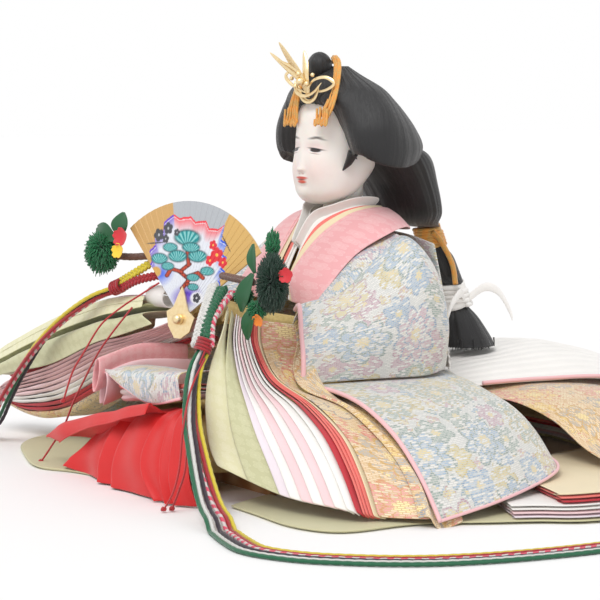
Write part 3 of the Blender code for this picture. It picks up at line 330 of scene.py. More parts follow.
def cord_silk(name, colour, second=None):
    """Twisted silk in one colour, or in two that take turns round the cord."""
    finish, tree = new_finish(name, Roughness=0.5, Sheen_Weight=0.35, Sheen_Roughness=0.4)
    uv = add(tree, "TexCoord").outputs["UV"]
    slant = add(tree, "Mapping", {"Vector": uv, "Rotation": (0, 0, math.radians(35))}).outputs[0]
    yarns = add(tree, "TexWave", {"Vector": slant, "Scale": WAVE_OF_ONE / YARN_PITCH, "Distortion": 0.6},
                bands_direction="Y").outputs["Fac"]
    # painted shade: the colour falls to 0.55 of itself in the grooves between the yarns
    out = painted(tree, shade(colour, 0.55), yarns, colour)
    if second:
        plies = add(tree, "TexWave", {"Vector": slant, "Scale": WAVE_OF_ONE / PLY_PITCH},
                    bands_direction="Y", wave_profile="SIN").outputs["Fac"]
        turned = add(tree, "Math", {0: plies, 1: 0.5}, operation="GREATER_THAN").outputs[0]
        out = painted(tree, out, turned, second)
    coat(tree, out, yarns, 0.5, 0.0002)
    return finish


CORD_COLOURS = {"white": cord_silk("white_twisted_silk", "#f3f1ec"),
                "green": cord_silk("green_twisted_silk", "#0f6a43"),
                "pink": cord_silk("white_and_pink_twisted_silk", "#f4e6e2", "#e0506a"),
                "purple": cord_silk("dark_purple_twisted_silk", "#2c1a2c"),
                "yellow": cord_silk("yellow_twisted_silk", "#f2dc3c"),
                "red": cord_silk("red_twisted_silk", "#b81c28")}

# %% [markdown]
# Six cords leave the knot at the near end of the fan and five the knot at the far end.
# All of one side follow the CAD bundle's line. At the knot they are packed in two rows,
# and on the floor they lie side by side, so each has its own place beside that line,
# which changes slowly from the one to the other.

# %% Cord routes
CORDS_LEFT = np.array([
    (48.5, -104, 64), (49, -107.5, 59), (52, -111.5, 52.5), (57.5, -115.5, 45), (64.5, -119.5, 36),
    (73.5, -123, 27.5), (84, -126.5, 17.5), (95, -129.5, 8.5), (109, -133, 4), (129, -139, 2.6),
    (148, -142, 2.6), (167, -134.5, 2.6), (181, -122.3, 2.6), (192.7, -108.4, 2.6), (201.9, -92.5, 2.6),
    (210.5, -67.4, 2.6), (216.5, -34.3, 2.6), (217, -5, 2.6), (214, 18, 2.6)]) / 1000
CORDS_RIGHT = np.array([
    (-44, -93.5, 83), (-56.8, -99.5, 77.9), (-75.7, -104.5, 67.3), (-94.3, -108.5, 53.6),
    (-113.4, -110, 37.1), (-127.5, -111.5, 22.2), (-140, -112.5, 9), (-152, -115, 4), (-166, -121, 2.6),
    (-179, -133, 2.6), (-181, -150, 2.6), (-168, -162, 2.6), (-148, -164, 2.6), (-127, -156, 2.6),
    (-109, -154, 2.6)]) / 1000
NEAR_CORDS = ["green", "white", "purple", "pink", "red", "yellow"]
FAR_CORDS = ["purple", "green", "yellow", "pink", "red"]
CORD_HEIGHT = 0.0026
PACKED = [(-1.0, 0.5), (0.0, 0.5), (1.0, 0.5), (-1.0, -0.5), (0.0, -0.5), (1.0, -0.5)]


def beside(route, place, packed, count, spread):
    """Route of one cord of a bundle: packed at the start, side by side on the floor."""
    middle = spaced(route, 0.006)[0]
    ahead = unit(np.gradient(middle, axis=0))
    left = unit(np.cross((0.0, 0.0, 1.0), ahead))
    up = np.cross(ahead, left)
    share = np.clip((middle[:, 2:3] - CORD_HEIGHT) / (middle[0, 2] - CORD_HEIGHT), 0, 1) ** 0.8
    flat = (place - (count - 1) / 2) * spread
    sway = np.sin(np.linspace(0, 9, len(middle)) + place * 1.7)[:, None] * 0.0005
    route = middle + left * (packed[0] * CORD_DIAMETER * 1.05 * share + (flat + sway) * (1 - share))
    route += up * packed[1] * CORD_DIAMETER * 1.05 * share
    low = middle[:, 2] < CORD_HEIGHT + 0.0012
    route[low, 2] = CORD_DIAMETER / 2 + 0.0002
    route[:, 2] = np.maximum(route[:, 2], CORD_DIAMETER / 2 + 0.0002)
    return route


def knot_of(name, centre, size, finish):
    """A small overhand knot: the cord's end turned through its own loop."""
    turns = np.linspace(0, 2 * math.pi, 40)
    x = (np.sin(turns) + 2 * np.sin(2 * turns)) / 3
    y = (np.cos(turns) - 2 * np.cos(2 * turns)) / 3
    z = -np.sin(3 * turns) / 2
    route = np.stack([x, y, z], axis=1)[:-1] * size + np.asarray(centre)
    return tube(name, route, CORD_DIAMETER * 0.8, finish, step=0.0005, ring=8)[0]


def hang(thing, length, knot, node, stands_in=True):
    for piece in (thing, knot):
        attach(piece, "figure")
    if stands_in:
        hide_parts(node)
    print(thing.name, round(length * 1000), "mm")


for group, node, route, colours, spread in (("near", "cords_left", CORDS_LEFT, NEAR_CORDS, 0.0023),
                                            ("far", "cords_right", CORDS_RIGHT, FAR_CORDS, 0.0026)):
    for place, colour in enumerate(colours):
        name = f"cord_{group}_{colour}"
        own = beside(route, place, PACKED[place], len(colours), spread)
        thing, path, length = tube(name, own, CORD_DIAMETER, CORD_COLOURS[colour], lobes=2, lay=0.0085)
        end = path[-1] + unit(path[-1] - path[-2]) * 0.0006
        knot = knot_of("knot_" + name, (end[0], end[1], 0.0022), 0.0014, CORD_COLOURS[colour])
        hang(thing, length, knot, node)

# %% [markdown]
# ## Silk
# Plain silk is fine and nearly smooth, with a soft sheen where it turns away from the
# light. Its threads are drawn a little coarser than real, at about 0.4 mm, or they would
# vanish in a picture of this size. A slow change of tone keeps a wide panel from looking
# like plastic. Each cloth has its own UV in metres, so thread and pattern have one scale.

# %% Silk
THREAD_PITCH = 0.0004


def silk(name, colour, roughness=0.62, sheen=0.3, tone=0.07, thread=THREAD_PITCH):
    """Woven silk: returns the material, its tree, the cloth's UV and the toned colour."""
    finish, tree = new_finish(name, Roughness=roughness, Sheen_Weight=sheen, Sheen_Roughness=0.45)
    uv = add(tree, "TexCoord").outputs["UV"]
    warp = add(tree, "TexWave", {"Vector": uv, "Scale": WAVE_OF_ONE / thread, "Distortion": 0.3})
    weft = add(tree, "TexWave", {"Vector": uv, "Scale": WAVE_OF_ONE / thread}, bands_direction="Y")
    weave = add(tree, "Math", {0: warp.outputs["Fac"], 1: weft.outputs["Fac"]}, operation="MAXIMUM")
    slub = add(tree, "TexNoise", {"Vector": uv, "Scale": 45.0, "Detail": 4.0}).outputs["Fac"]
    toned = painted(tree, shade(colour, 1 - tone), slub, shade(colour, 1 + tone))
    coat(tree, toned, weave.outputs[0], 0.25, 0.0001)
    return finish, tree, uv, toned


WHITE_SILK = silk("white_silk", "#f1eeea")[0]
CREAM_SILK = silk("cream_silk", "#ead9b4")[0]
PALE_PINK_SILK = silk("pale_pink_silk", "#f0cfd2")[0]
LAVENDER_SILK = silk("lavender_silk", "#e9dde4")[0]
MAUVE_SILK = silk("mauve_silk", "#dbb0b2")[0]
CORAL_SILK = silk("coral_red_silk", "#ee7a70")[0]
DARK_RED_SILK = silk("dark_red_silk", "#c02a36")[0]
OLIVE_SILK = silk("olive_silk", "#cdc8a0")[0]
HAKAMA_SILK = silk("hakama_red_silk", "#cf1f1f", roughness=0.5, sheen=0.15)[0]
PIPING_SILK = silk("pink_piping_silk", "#eebdc0")[0]

# %% [markdown]
# ## Woven flowers
# The brocades and figured silks carry blossoms woven in coloured thread. A Voronoi
# texture gives a loose grid of cells and the place of each cell's middle. Taken from
# there, the distance and the direction of a point say whether it lies in a petal, on its
# outline, on a vein or in the heart, so one pattern serves every blossom.

# %% Woven flowers
def blossoms(tree, uv, pitch, petals, wide=0.47, scatter=0.45):
    """Petal, outline and heart masks of blossoms about one pitch apart, and a number for each."""
    cell = add(tree, "TexVoronoi", {"Vector": uv, "Scale": 1 / pitch, "Randomness": scatter},
               voronoi_dimensions="2D")
    out = add(tree, "VectorMath", {0: uv, 1: cell.outputs["Position"]}, operation="SUBTRACT")
    reach = add(tree, "VectorMath", {0: out.outputs[0]}, operation="LENGTH").outputs["Value"]
    xyz = add(tree, "SeparateXYZ", {0: out.outputs[0]})
    angle = add(tree, "Math", {0: xyz.outputs[1], 1: xyz.outputs[0]}, operation="ARCTAN2")
    own = add(tree, "SeparateColor", {0: cell.outputs["Color"]})
    turn = add(tree, "Math", {0: own.outputs[1], 1: 6.3, 2: angle.outputs[0]}, operation="MULTIPLY_ADD")
    half = add(tree, "Math", {0: turn.outputs[0], 1: petals / 2}, operation="MULTIPLY")
    wave = add(tree, "Math", {0: half.outputs[0]}, operation="COSINE")
    lobe = add(tree, "Math", {0: wave.outputs[0]}, operation="ABSOLUTE").outputs[0]
    edge = add(tree, "MapRange", {0: lobe, 3: 0.66 * wide * pitch, 4: wide * pitch})
    part = add(tree, "Math", {0: reach, 1: edge.outputs[0]}, operation="DIVIDE").outputs[0]
    petal = add(tree, "MapRange", {0: part, 1: 1.0, 2: 0.96}).outputs[0]
    rim = add(tree, "MapRange", {0: part, 1: 0.84, 2: 0.88}).outputs[0]
    inner = add(tree, "Math", {0: part, 1: 0.52, 2: 0.04}, operation="COMPARE").outputs[0]
    vein = add(tree, "MapRange", {0: lobe, 1: 0.16, 2: 0.10}).outputs[0]
    drawn = add(tree, "Math", {0: rim, 1: vein}, operation="MAXIMUM")
    drawn = add(tree, "Math", {0: drawn.outputs[0], 1: inner}, operation="MAXIMUM")
    outline = add(tree, "Math", {0: drawn.outputs[0], 1: petal}, operation="MULTIPLY").outputs[0]
    heart = add(tree, "MapRange", {0: part, 1: 0.28, 2: 0.22}).outputs[0]
    return petal, outline, heart, own.outputs[0]


def colours_by(tree, number, codes):
    """One of the colours for each random number."""
    ramp = add(tree, "ValToRGB", {0: number})
    ramp.color_ramp.interpolation = "CONSTANT"
    steps = ramp.color_ramp.elements
    while len(steps) < len(codes):
        steps.new(0.5)
    for k, code in enumerate(codes):
        steps[k].position = k / len(codes)
    for k, code in enumerate(codes):
        steps[k].color = linear(code)
    return ramp.outputs[0]


FLOAT_LENGTH, FLOAT_HEIGHT, FLOAT_GAP = 0.0021, 0.00088, 0.00016


def brocade(name, ground, dash, petal_codes, line_codes, heart_code, pitch, roughness=0.6,
            seam="#d2cec8"):
    """Brocade: short weft floats that carry large blossoms and small ones, thread by thread."""
    finish, tree, uv, toned = silk(name, ground, roughness=roughness, thread=0.0005)
    # a real float is 0.3 mm high; it is drawn at 0.9 mm, which is what the picture shows of it
    floats = add(tree, "TexBrick", {"Vector": uv, "Color1": (0, 0, 0, 1), "Color2": (1, 1, 1, 1),
                                    "Mortar": (0.5, 0.5, 0.5, 1), "Scale": 1.0,
                                    "Mortar Size": FLOAT_GAP, "Brick Width": FLOAT_LENGTH,
                                    "Row Height": FLOAT_HEIGHT, "Mortar Smooth": 0.2})
    chance = add(tree, "SeparateColor", {0: floats.outputs["Color"]}).outputs[0]
    colour = painted(tree, toned, chance, dash)
    spread = add(tree, "TexNoise", {"Vector": uv, "Scale": 260.0, "Detail": 2.0}).outputs["Color"]
    bent = add(tree, "VectorMath", {0: spread, 1: (0.0011, 0.0011, 0), 2: uv},
               operation="MULTIPLY_ADD").outputs[0]

    def woven(mask, share, colours, below):
        threads = add(tree, "MapRange", {0: chance, 1: 1 - share - 0.12, 2: 1 - share + 0.12})
        shown = add(tree, "Math", {0: mask, 1: threads.outputs[0]}, operation="MULTIPLY")
        return painted(tree, below, shown.outputs[0], colours)

    # size in pitches, petals, width, scatter, share of threads on petal and line, petal colours
    kinds = ((0.42, 4, 0.46, 0.9, 0.55, 0.45, petal_codes[::-1]),
             (1.0, 6, 0.50, 0.6, 0.72, 0.60, petal_codes),
             (1.9, 8, 0.42, 0.25, 0.62, 0.75, petal_codes[1:] + petal_codes[:1]))
    for size, petals, wide, scatter, petal_share, line_share, codes in kinds:
        petal, line, heart, own = blossoms(tree, bent, pitch * size, petals, wide, scatter)
        colour = woven(petal, 0.70, toned, colour)
        colour = woven(petal, petal_share, colours_by(tree, own, codes), colour)
        colour = woven(line, line_share, colours_by(tree, own, line_codes), colour)
        colour = woven(heart, 0.8, heart_code, colour)
    colour = painted(tree, colour, floats.outputs["Fac"], seam)
    raised = add(tree, "Math", {0: petal, 1: chance}, operation="ADD").outputs[0]
    coat(tree, colour, raised, 0.4, 0.00015)
    return finish


def figured(name, ground, figure, pitch, petals=5):
    """Figured silk: blossoms woven tone on tone, seen by a small change of colour."""
    finish, tree, uv, toned = silk(name, ground, roughness=0.6)
    petal, line, heart, own = blossoms(tree, uv, pitch, petals, scatter=0.3)
    soft = add(tree, "Math", {0: petal, 1: 0.45}, operation="MULTIPLY").outputs[0]
    mark = add(tree, "Math", {0: line, 1: heart}, operation="MAXIMUM").outputs[0]
    mark = add(tree, "Math", {0: mark, 1: soft}, operation="MAXIMUM").outputs[0]
    coat(tree, painted(tree, toned, mark, figure), mark, 0.3, 0.0001)
    return finish


BLUE_BROCADE = brocade("pale_blue_brocade", "#e4e2dd", "#cfd0cc",
                       ["#a3b8cc", "#c9a9b4", "#d6c894", "#a4b1a8"],
                       ["#8aa0b8", "#b48e9e", "#c2b078", "#8b9b94"], "#e2cf9a", 0.0175, seam="#c9c8c4")
GOLD_BROCADE = brocade("gold_brocade", "#ecd9bd", "#d9b98c",
                       ["#e39a98", "#ecd08a", "#b3b3b0", "#ecdfc0"],
                       ["#d0686c", "#c9a05c", "#8f97a4", "#cf8a62"], "#f3e2a6", 0.0165, 0.5, "#cfae80")
PINK_FIGURED = figured("pink_figured_silk", "#eaa9ac", "#efbcbd", 0.0046)
GREEN_FIGURED = figured("green_figured_silk", "#c4c39a", "#cfcea8", 0.0060, petals=6)
PALE_GREEN_FIGURED = figured("pale_green_figured_silk", "#dfdcb4", "#e6e3c2", 0.0052, petals=6)

# %% [markdown]
# ## Cloth
# A layer of cloth starts as a grid, is laid on the surface through its control lines,
# gets a thickness with Solidify, and rounded edges with one level of Subdivision, both
# applied. The layers lie like shingles: the first edge of each is tucked under the
# layer before it and its last edge stands free, which is what makes the fanned edges of
# the robes show one by one.

# %% Cloth
SILK_THICKNESS, BROCADE_THICKNESS = 0.0006, 0.0009


def layer(name, lines, finish, run=(0.0, 1.0), span=(0.0, 1.0), steps=(10, 40), depths=(0.0, 0.0),
          facing=1, thickness=SILK_THICKNESS, wave=0.0004, wave_size=0.02, pleats=None, seed=0.0):
    """One layer of cloth. run is its share across the lines, span its share along them."""
    bpy.ops.object.select_all(action="DESELECT")
    bpy.ops.mesh.primitive_grid_add(x_subdivisions=steps[0], y_subdivisions=steps[1], size=1)
    thing = bpy.context.object
    thing.name = name
    us = np.linspace(run[0], run[1], steps[0] + 1)
    vs = np.linspace(span[0], span[1], steps[1] + 1)
    grid = surface(lines, us, vs)
    normal = unit(np.cross(np.gradient(grid, axis=0), np.gradient(grid, axis=1))) * facing
    depth = np.linspace(depths[0], depths[1], steps[0] + 1)[:, None]
    lift = -depth + wave * ripple(grid, wave_size, seed) * np.linspace(0.3, 1, steps[1] + 1)[None, :]
    if pleats:
        lift = lift + pleats(np.linspace(0, 1, steps[0] + 1)[:, None],
                             np.linspace(0, 1, steps[1] + 1)[None, :])
    grid = grid + normal * lift[..., None]
    mesh = thing.data
    flat = np.empty(len(mesh.vertices) * 3)
    mesh.vertices.foreach_get("co", flat)
    flat = flat.reshape(-1, 3)
    column = np.rint((flat[:, 0] + 0.5) * steps[0]).astype(int)
    row = np.rint((flat[:, 1] + 0.5) * steps[1]).astype(int)
    mesh.vertices.foreach_set("co", grid[column, row].ravel())
    across, along = distances(grid[:, steps[1] // 2]), distances(grid[steps[0] // 2])
    index = np.empty(len(mesh.loops), int)
    mesh.loops.foreach_get("vertex_index", index)
    uv = np.stack([across[column], along[row]], axis=1)[index] + seed * 0.013
    mesh.uv_layers[0].data.foreach_set("uv", uv.astype(np.float32).ravel())
    mesh.update()
    if facing < 0:
        bpy.ops.object.mode_set(mode="EDIT")
        bpy.ops.mesh.select_all(action="SELECT")
        bpy.ops.mesh.flip_normals()
        bpy.ops.object.mode_set(mode="OBJECT")
    thick = thing.modifiers.new("lining", "SOLIDIFY")
    thick.thickness = thickness
    thick.offset = -1
    bpy.ops.object.modifier_apply(modifier=thick.name)
    rounded = thing.modifiers.new("rounded", "SUBSURF")
    rounded.levels = rounded.render_levels = 1
    bpy.ops.object.modifier_apply(modifier=rounded.name)
    mesh.shade_smooth()
    mesh.materials.clear()
    mesh.materials.append(finish)
    thing["length"] = float(along[-1])
    return thing


def sewn(name, layers, nodes, trims=()):
    thing = together(name, list(layers) + list(trims))
    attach(thing, "figure")
    if nodes:
        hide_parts(*nodes)


def shingled(name, lines, parts, visible, facing, overlap, tuck, steps=(6, 44), span=(0.0, 1.0),
             seed=0.0):
    """Layers that share a visible run; parts is the finish of each, from the covered side on."""
    made = []
    edges = np.linspace(visible[0], visible[1], len(parts) + 1)
    for k, finish in enumerate(parts):
        start = max(edges[k] - overlap, 0.0)
        depth = tuck * (edges[k + 1] - start) / (edges[k + 1] - edges[k] + overlap)
        made.append(layer(f"{name}_{k}", lines, finish, run=(start, edges[k + 1]), span=span,
                          steps=steps, depths=(depth, 0.0), facing=facing, wave=0.0003,
                          seed=seed + k * 1.3))
    return made


# %% [markdown]
# ## Near sleeve
# The wide left sleeve hangs from the forearm and spreads over the floor. Its outer robe
# is pale blue brocade with a pink piped edge, and under it lie seven robes, each a
# little longer than the one over it, so that their edges show side by side.

# %% Near sleeve
OUTER_LEFT_SHARES = [
    [(24, 36, 56), (33, 37, 50), (41, 38, 43), (49, 38, 35), (58, 38, 27), (66, 38, 19)],
    [(32, 20, 58.5), (44, 22, 56.5), (54, 24, 51), (65, 25, 44), (75, 26, 32), (84, 26, 17)],
    [(36, 2, 58.5), (48, 3, 58), (61, 4, 54), (74, 5, 45), (85, 6, 30), (93, 8, 14.2)],
    [(38, -28, 58.5), (53, -28, 58), (67, -27, 54), (82, -26, 43), (93, -26, 26), (100, -26, 9)],
    [(38, -57, 58.5), (53, -57, 58), (67, -57, 53), (81, -57, 41), (92, -57, 24), (101, -57, 3.5)],
]
LAYERS_LEFT_SHARES = [
    [(30, -50, 90), (33.5, -52, 76), (40, -63.5, 61), (62, -60, 53.5), (81, -58.5, 38), (93, -58.5, 22),
     (100, -61, 6)],
    [(24, -66, 92), (27, -68, 78), (36, -69, 63), (56, -70, 54), (72, -71, 41), (82, -72, 24),
     (90, -74, 5)],
    [(25, -73, 92), (28, -76, 81), (37, -78, 64), (53, -80, 54), (66, -82, 42), (77, -84, 26),
     (86, -86, 9)],
    [(25, -80, 97), (31, -87, 83), (39, -92, 66), (46, -94, 50), (53, -96, 37), (60, -97, 24),
     (66, -98, 12)],
    [(26, -86, 102), (34, -96, 90), (33, -101, 74), (33, -104, 58), (34, -105, 42), (37, -106, 30),
     (42, -107, 22)],
]
PIPING_DIAMETER = 0.0019


def piping(lines, across, along, size=1.0, lift=0.0, step=0.0015):
    """Piped edge: a thin silk tube that follows one line of a cloth."""
    route = surface(lines, across, along).reshape(-1, 3) + (0, 0, lift)
    return tube("piping", route, PIPING_DIAMETER * size, PIPING_SILK, step=step)[0]


outer_left = lines_of(OUTER_LEFT_SHARES)
blue_left = layer("robe_blue_left_cloth", outer_left, BLUE_BROCADE, steps=(30, 44), wave=0.0006,
                  wave_size=0.03, thickness=BROCADE_THICKNESS)
edges = [piping(outer_left, [1.0], np.linspace(0, 1, 30)),
         piping(outer_left, np.linspace(0, 1, 30), [1.0], 0.7, 0.0004)]
sewn("robe_blue_left_cloth", [blue_left], ["robe_blue_left"], edges)

layers_left = lines_of(LAYERS_LEFT_SHARES)
LEFT_ROBES = [("gold", [GOLD_BROCADE], 0.0, 0.27),
              ("coral", [CREAM_SILK, CORAL_SILK, CORAL_SILK, CORAL_SILK], 0.27, 0.39),
              ("dark_red", [DARK_RED_SILK], 0.39, 0.45),
              ("white", [WHITE_SILK, WHITE_SILK], 0.45, 0.56),
              ("pink", [PALE_PINK_SILK, WHITE_SILK, PALE_PINK_SILK], 0.56, 0.68),
              ("lavender", [WHITE_SILK, LAVENDER_SILK], 0.68, 0.76),
              ("green", [GREEN_FIGURED, PALE_GREEN_FIGURED], 0.76, 1.0)]
for k, (colour, parts, first, last) in enumerate(LEFT_ROBES):
    name = f"robe_{colour}_left"
    made = shingled(name + "_cloth", layers_left, parts, (first, last), 1, 0.05, 0.0026, seed=3.0 * k)
    if colour == "gold":      # the gold robe goes on under the edge of the blue one
        shares = np.linspace(0, 1, 9)
        under_edge = surface(outer_left, [0.90], shares)[0] - (0.0, 0.0, 0.0030)
        brim = surface(outer_left, [0.995], shares)[0] - (0.0006, 0.0, 0.0034)
        own = surface(layers_left, [0.0, 0.06], shares)
        made.append(layer("gold_inner", np.array([under_edge, brim, own[0], own[1] - (0, 0, 0.0004)]),
                          GOLD_BROCADE, steps=(16, 44), wave=0.0002, seed=13.0))
    sewn(name + "_cloth", made, [name])

# %% [markdown]
# ## Short jacket
# Over the robes goes a short jacket in the same brocade, wide at the shoulder and open
# at the wrist, where a padded pink cord edges it. Its lapels are pink figured silk, and
# inside them stand the white, red and cream collars of the robes.

# %% Short jacket
JACKET_SLEEVE_SHARES = [
    [(25, -50, 97), (31, -54, 100), (35, -57, 87), (38, -59, 74), (39, -60, 59.5)],
    [(23, -28, 99), (31, -34, 106), (38, -36, 97), (42, -37, 80), (41, -38, 59.5)],
    [(22, -14, 113), (32, -16, 121), (41, -15, 108), (45, -14, 85), (43, -14, 59.5)],
    [(23, -1, 131), (33, -1, 135), (42, 0, 120), (46, 0, 92), (44, 2, 59.5)],
    [(21, 9, 133), (31, 10, 131), (39, 13, 115), (42, 15, 90), (40, 16, 62)],
    [(14, 18, 131), (22, 20, 126), (27, 22, 112), (30, 23, 90), (28, 23, 62)],
]
COLLAR_SHARES = [
    [(0.5, 19, 150), (8, 13, 154), (10, 0, 155), (7.5, -12, 151), (2, -20, 144), (0.6, -31, 117),
     (0.6, -34, 98)],
    [(0.5, 22, 146), (10.7, 15, 150), (13.3, 2, 150), (12, -9, 146), (8, -22, 132.5), (6, -34, 112.5),
     (8.7, -36, 97.5)],
    [(0.5, 24.5, 141), (12.7, 20, 145), (18.7, 8, 146.5), (21.3, -5, 144), (18, -21, 130), (15.3, -34, 111),
     (16, -37, 97.5)],
    [(0.5, 26, 136), (14.7, 24, 137), (24, 12, 140), (29.3, -3, 138), (25.3, -17, 126.5), (24, -31, 109),
     (23.3, -37, 97.5)],
]
BACK_SHARES = [
    [(-27, 25, 130), (-29, 26, 112), (-31, 27, 90), (-29, 27, 66)],
    [(-12, 26.2, 134), (-14, 30, 112), (-14, 32, 90), (-14, 31, 66)],
    [(0, 26.5, 135.2), (0, 31, 112), (0, 33, 90), (0, 32, 66)],
    [(12, 26.2, 134), (14, 30, 112), (14, 32, 90), (14, 31, 66)],
    [(27, 25, 130), (29, 26, 112), (31, 27, 90), (29, 27, 66)],
]


def elbow_folds(across, along):
    """Soft creases that run down from the shoulder, deepest at the middle of the sleeve."""
    crease = np.sin(across * 19 + along * 2.2) * np.exp(-((across - 0.3) / 0.32) ** 2)
    return 0.0009 * crease * np.sin(np.pi * np.clip(along, 0, 1)) ** 0.7


for side_name, side in (("left", 1), ("right", -1)):
    name = f"jacket_sleeve_{side_name}"
    sleeve = lines_of(JACKET_SLEEVE_SHARES, side)
    cloth = layer(name + "_cloth", sleeve, BLUE_BROCADE, steps=(44, 40), facing=-side, wave=0.0007,
                  thickness=BROCADE_THICKNESS, wave_size=0.028, pleats=elbow_folds, seed=5.0 + side)
    mouth = piping(sleeve, [0.0], np.linspace(0, 1, 24), 1.15)
    sewn(name + "_cloth", [cloth], [name], [mouth])

back = layer("jacket_back_cloth", lines_of(BACK_SHARES), BLUE_BROCADE, steps=(30, 24), wave=0.0006,
             thickness=BROCADE_THICKNESS, seed=9.0)
sewn("jacket_back_cloth", [back], ["jacket_back"])

collar_lines = []
for row in lines_of(COLLAR_SHARES):
    row[0][0] = 0
    collar_lines.append(np.concatenate([(row * (-1, 1, 1))[:0:-1], row]))
collar_lines = np.array(collar_lines)
COLLARS = [("lapel", [PINK_FIGURED], 0.36, 1.0, 0.0, 0.0010),
           ("cream_collar", [CREAM_SILK, PINK_FIGURED], 0.20, 0.42, 0.0012, 0.0006),
           ("red_collar", [CORAL_SILK], 0.13, 0.24, 0.0024, 0.0006),
           ("white_collar", [WHITE_SILK, WHITE_SILK], 0.0, 0.17, 0.0036, 0.0006)]
bands = []
for name, parts, first, last, depth, thickness in COLLARS:
    edges = np.linspace(first, last, len(parts) + 1)
    for k, finish in enumerate(parts):
        inset = depth - 0.0007 * k
        bands.append(layer(f"{name}_{k}", collar_lines, finish, run=(edges[k], last), steps=(8, 90),
                           depths=(inset, inset), facing=-1, thickness=thickness, wave=0.0002,
                           seed=11.0 + k))
sewn("lapels_cloth", bands[:1], ["lapels"])
sewn("collars_cloth", bands[1:], ["collar_white", "collar_red", "collar_gold"])

# %% [markdown]
# ## Far sleeve
# The right sleeve is held up by the fan hand, so its mouth opens to the front. Over its
# rim lie the outer robes, and under it the linings are folded back on themselves in
# thin, slightly wavy leaves that meet near the fan.

# %% Far sleeve
BLUE_RIGHT_SHARES = OUTER_LEFT_SHARES[:3] + [
    [(48, -28, 60), (58, -28, 60), (70, -27, 55), (83, -26, 43), (93, -26, 26), (100, -26, 9)],
    [(44, -57, 74), (55, -57, 66), (69, -57, 53), (83, -57, 38), (94, -57, 24), (103, -57, 10)],
]
OUTER_RIGHT_SHARES = [
    [(28, -62, 90), (40, -63, 80), (54, -61, 68), (70, -60, 54), (85, -60, 38), (97, -61, 26),
     (105, -63, 15)],
    [(22, -66, 99), (32, -70, 93), (44, -74, 86), (58, -77, 74), (80, -80, 60), (100, -82, 44),
     (112, -84, 34)],
    [(8, -82, 102), (20, -86, 101), (32, -89, 99), (44, -92, 94), (72, -94, 79), (103, -96, 57),
     (118, -97, 44)],
    [(8, -86, 99), (18, -90, 95), (30, -94, 90), (42, -96, 85), (74, -98, 68), (100, -100, 51),
     (115, -101, 41)],
]
GREEN_LOW_SHARES = [
    [(8, -70, 90), (18, -70, 86), (30, -72, 80), (44, -74, 76), (74, -80, 53), (100, -86, 38),
     (112, -90, 31)],
    [(8, -87, 95), (18, -92, 91), (30, -96, 86), (42, -98, 81), (74, -100, 64), (100, -102, 47),
     (114, -103, 38)],
    [(7, -86, 90), (13, -92, 85), (26, -97, 77), (40, -99, 70), (66, -101, 53), (97, -102, 41),
     (110, -103, 33)],
]
STACK_TOP_SHARES = [
    (7, -84, 88.6), (13, -90, 83), (26, -95, 76.2), (40, -97.7, 70.3), (66, -99.7, 52.9), (95, -100, 38),
    (108, -101, 27)]
STACK_BOTTOM_SHARES = [
    (14, -66, 70), (26, -70, 62), (40, -76, 48), (60, -80, 30), (76, -85, 16), (94, -90, 13), (108, -95, 21)]
STACK_DEPTH = 0.018

outer_right = lines_of(BLUE_RIGHT_SHARES, -1)
blue_right = layer("robe_blue_right_cloth", outer_right, BLUE_BROCADE, steps=(30, 44), wave=0.0006,
                   wave_size=0.03, thickness=BROCADE_THICKNESS, facing=-1, seed=2.0)
sewn("robe_blue_right_cloth", [blue_right], ["robe_blue_right"])

rim_lines = lines_of(OUTER_RIGHT_SHARES, -1)
# colour, its layers, where its band starts and ends, how far it goes under, and how deep
RIGHT_ROBES = [("gold", [GOLD_BROCADE], 0.0, 0.26, 0.06, 0.0022),
               ("red", [CORAL_SILK, DARK_RED_SILK], 0.26, 0.47, 0.06, 0.0022),
               ("white", [WHITE_SILK, PALE_PINK_SILK, WHITE_SILK], 0.47, 0.74, 0.06, 0.0022),
               ("green", [PALE_GREEN_FIGURED, PALE_GREEN_FIGURED], 0.735, 1.0, 0.0, 0.0)]
for k, (colour, parts, first, last, overlap, tuck) in enumerate(RIGHT_ROBES):
    name = f"robe_{colour}_right"
    made = shingled(name + "_cloth", rim_lines, parts, (first, last), -1, overlap, tuck,
                    steps=(6, 40), span=(0.18, 1.0), seed=20 + 3.0 * k)
    sewn(name + "_cloth", made, [name])
low_lines = lines_of(GREEN_LOW_SHARES, -1)
low_lines[0] += (0, 0.0025, 0.0042)      # the lining goes on up behind the rim
lining = [layer("lining_green_right_cloth", low_lines, GREEN_FIGURED, span=(0.14, 1.0),
                steps=(20, 40), facing=-1, wave=0.0003, seed=31.0)]
shares = np.linspace(0.18, 1, 9)
over, below = surface(rim_lines, [1.0], shares)[0], surface(low_lines, [0.0], shares)[0]
inside, overlap = np.array((0, 0.0028, 0)), np.array((0, 0, 0.001))
bridge = np.array([over + inside + overlap, (over + below) / 2 + inside * 1.2, below + inside - overlap])
lining.append(layer("green_between", bridge, GREEN_FIGURED, steps=(6, 40), facing=-1, wave=0.0002,
                    seed=33.0))
sewn("lining_green_right_cloth", lining, ["lining_green_right"])


def folded(name, top, bottom, back, finish, count, first, last, steps=(10, 46), seed=0.0, fill=0.8):
    """Leaves of cloth folded over at the front, filling a share of the height between two lines."""
    made = []
    for k in range(count):
        high = first + (last - first) * k / count
        low = high + (last - first) / count * fill
        rows = [top + (bottom - top) * at for at in (high, high + (low - high) * 0.5, low)]
        lines = np.array([rows[0] + back, rows[0] + back * 0.12, rows[0] + back * 0.02,
                          rows[1] - back * 0.02,
                          rows[2] + back * 0.02, rows[2] + back * 0.12, rows[2] + back])
        made.append(layer(f"{name}_{k}", lines, finish, steps=steps, wave=0.0005, wave_size=0.014,
                          thickness=0.0004, seed=seed + 1.7 * k, facing=-1))
    return made


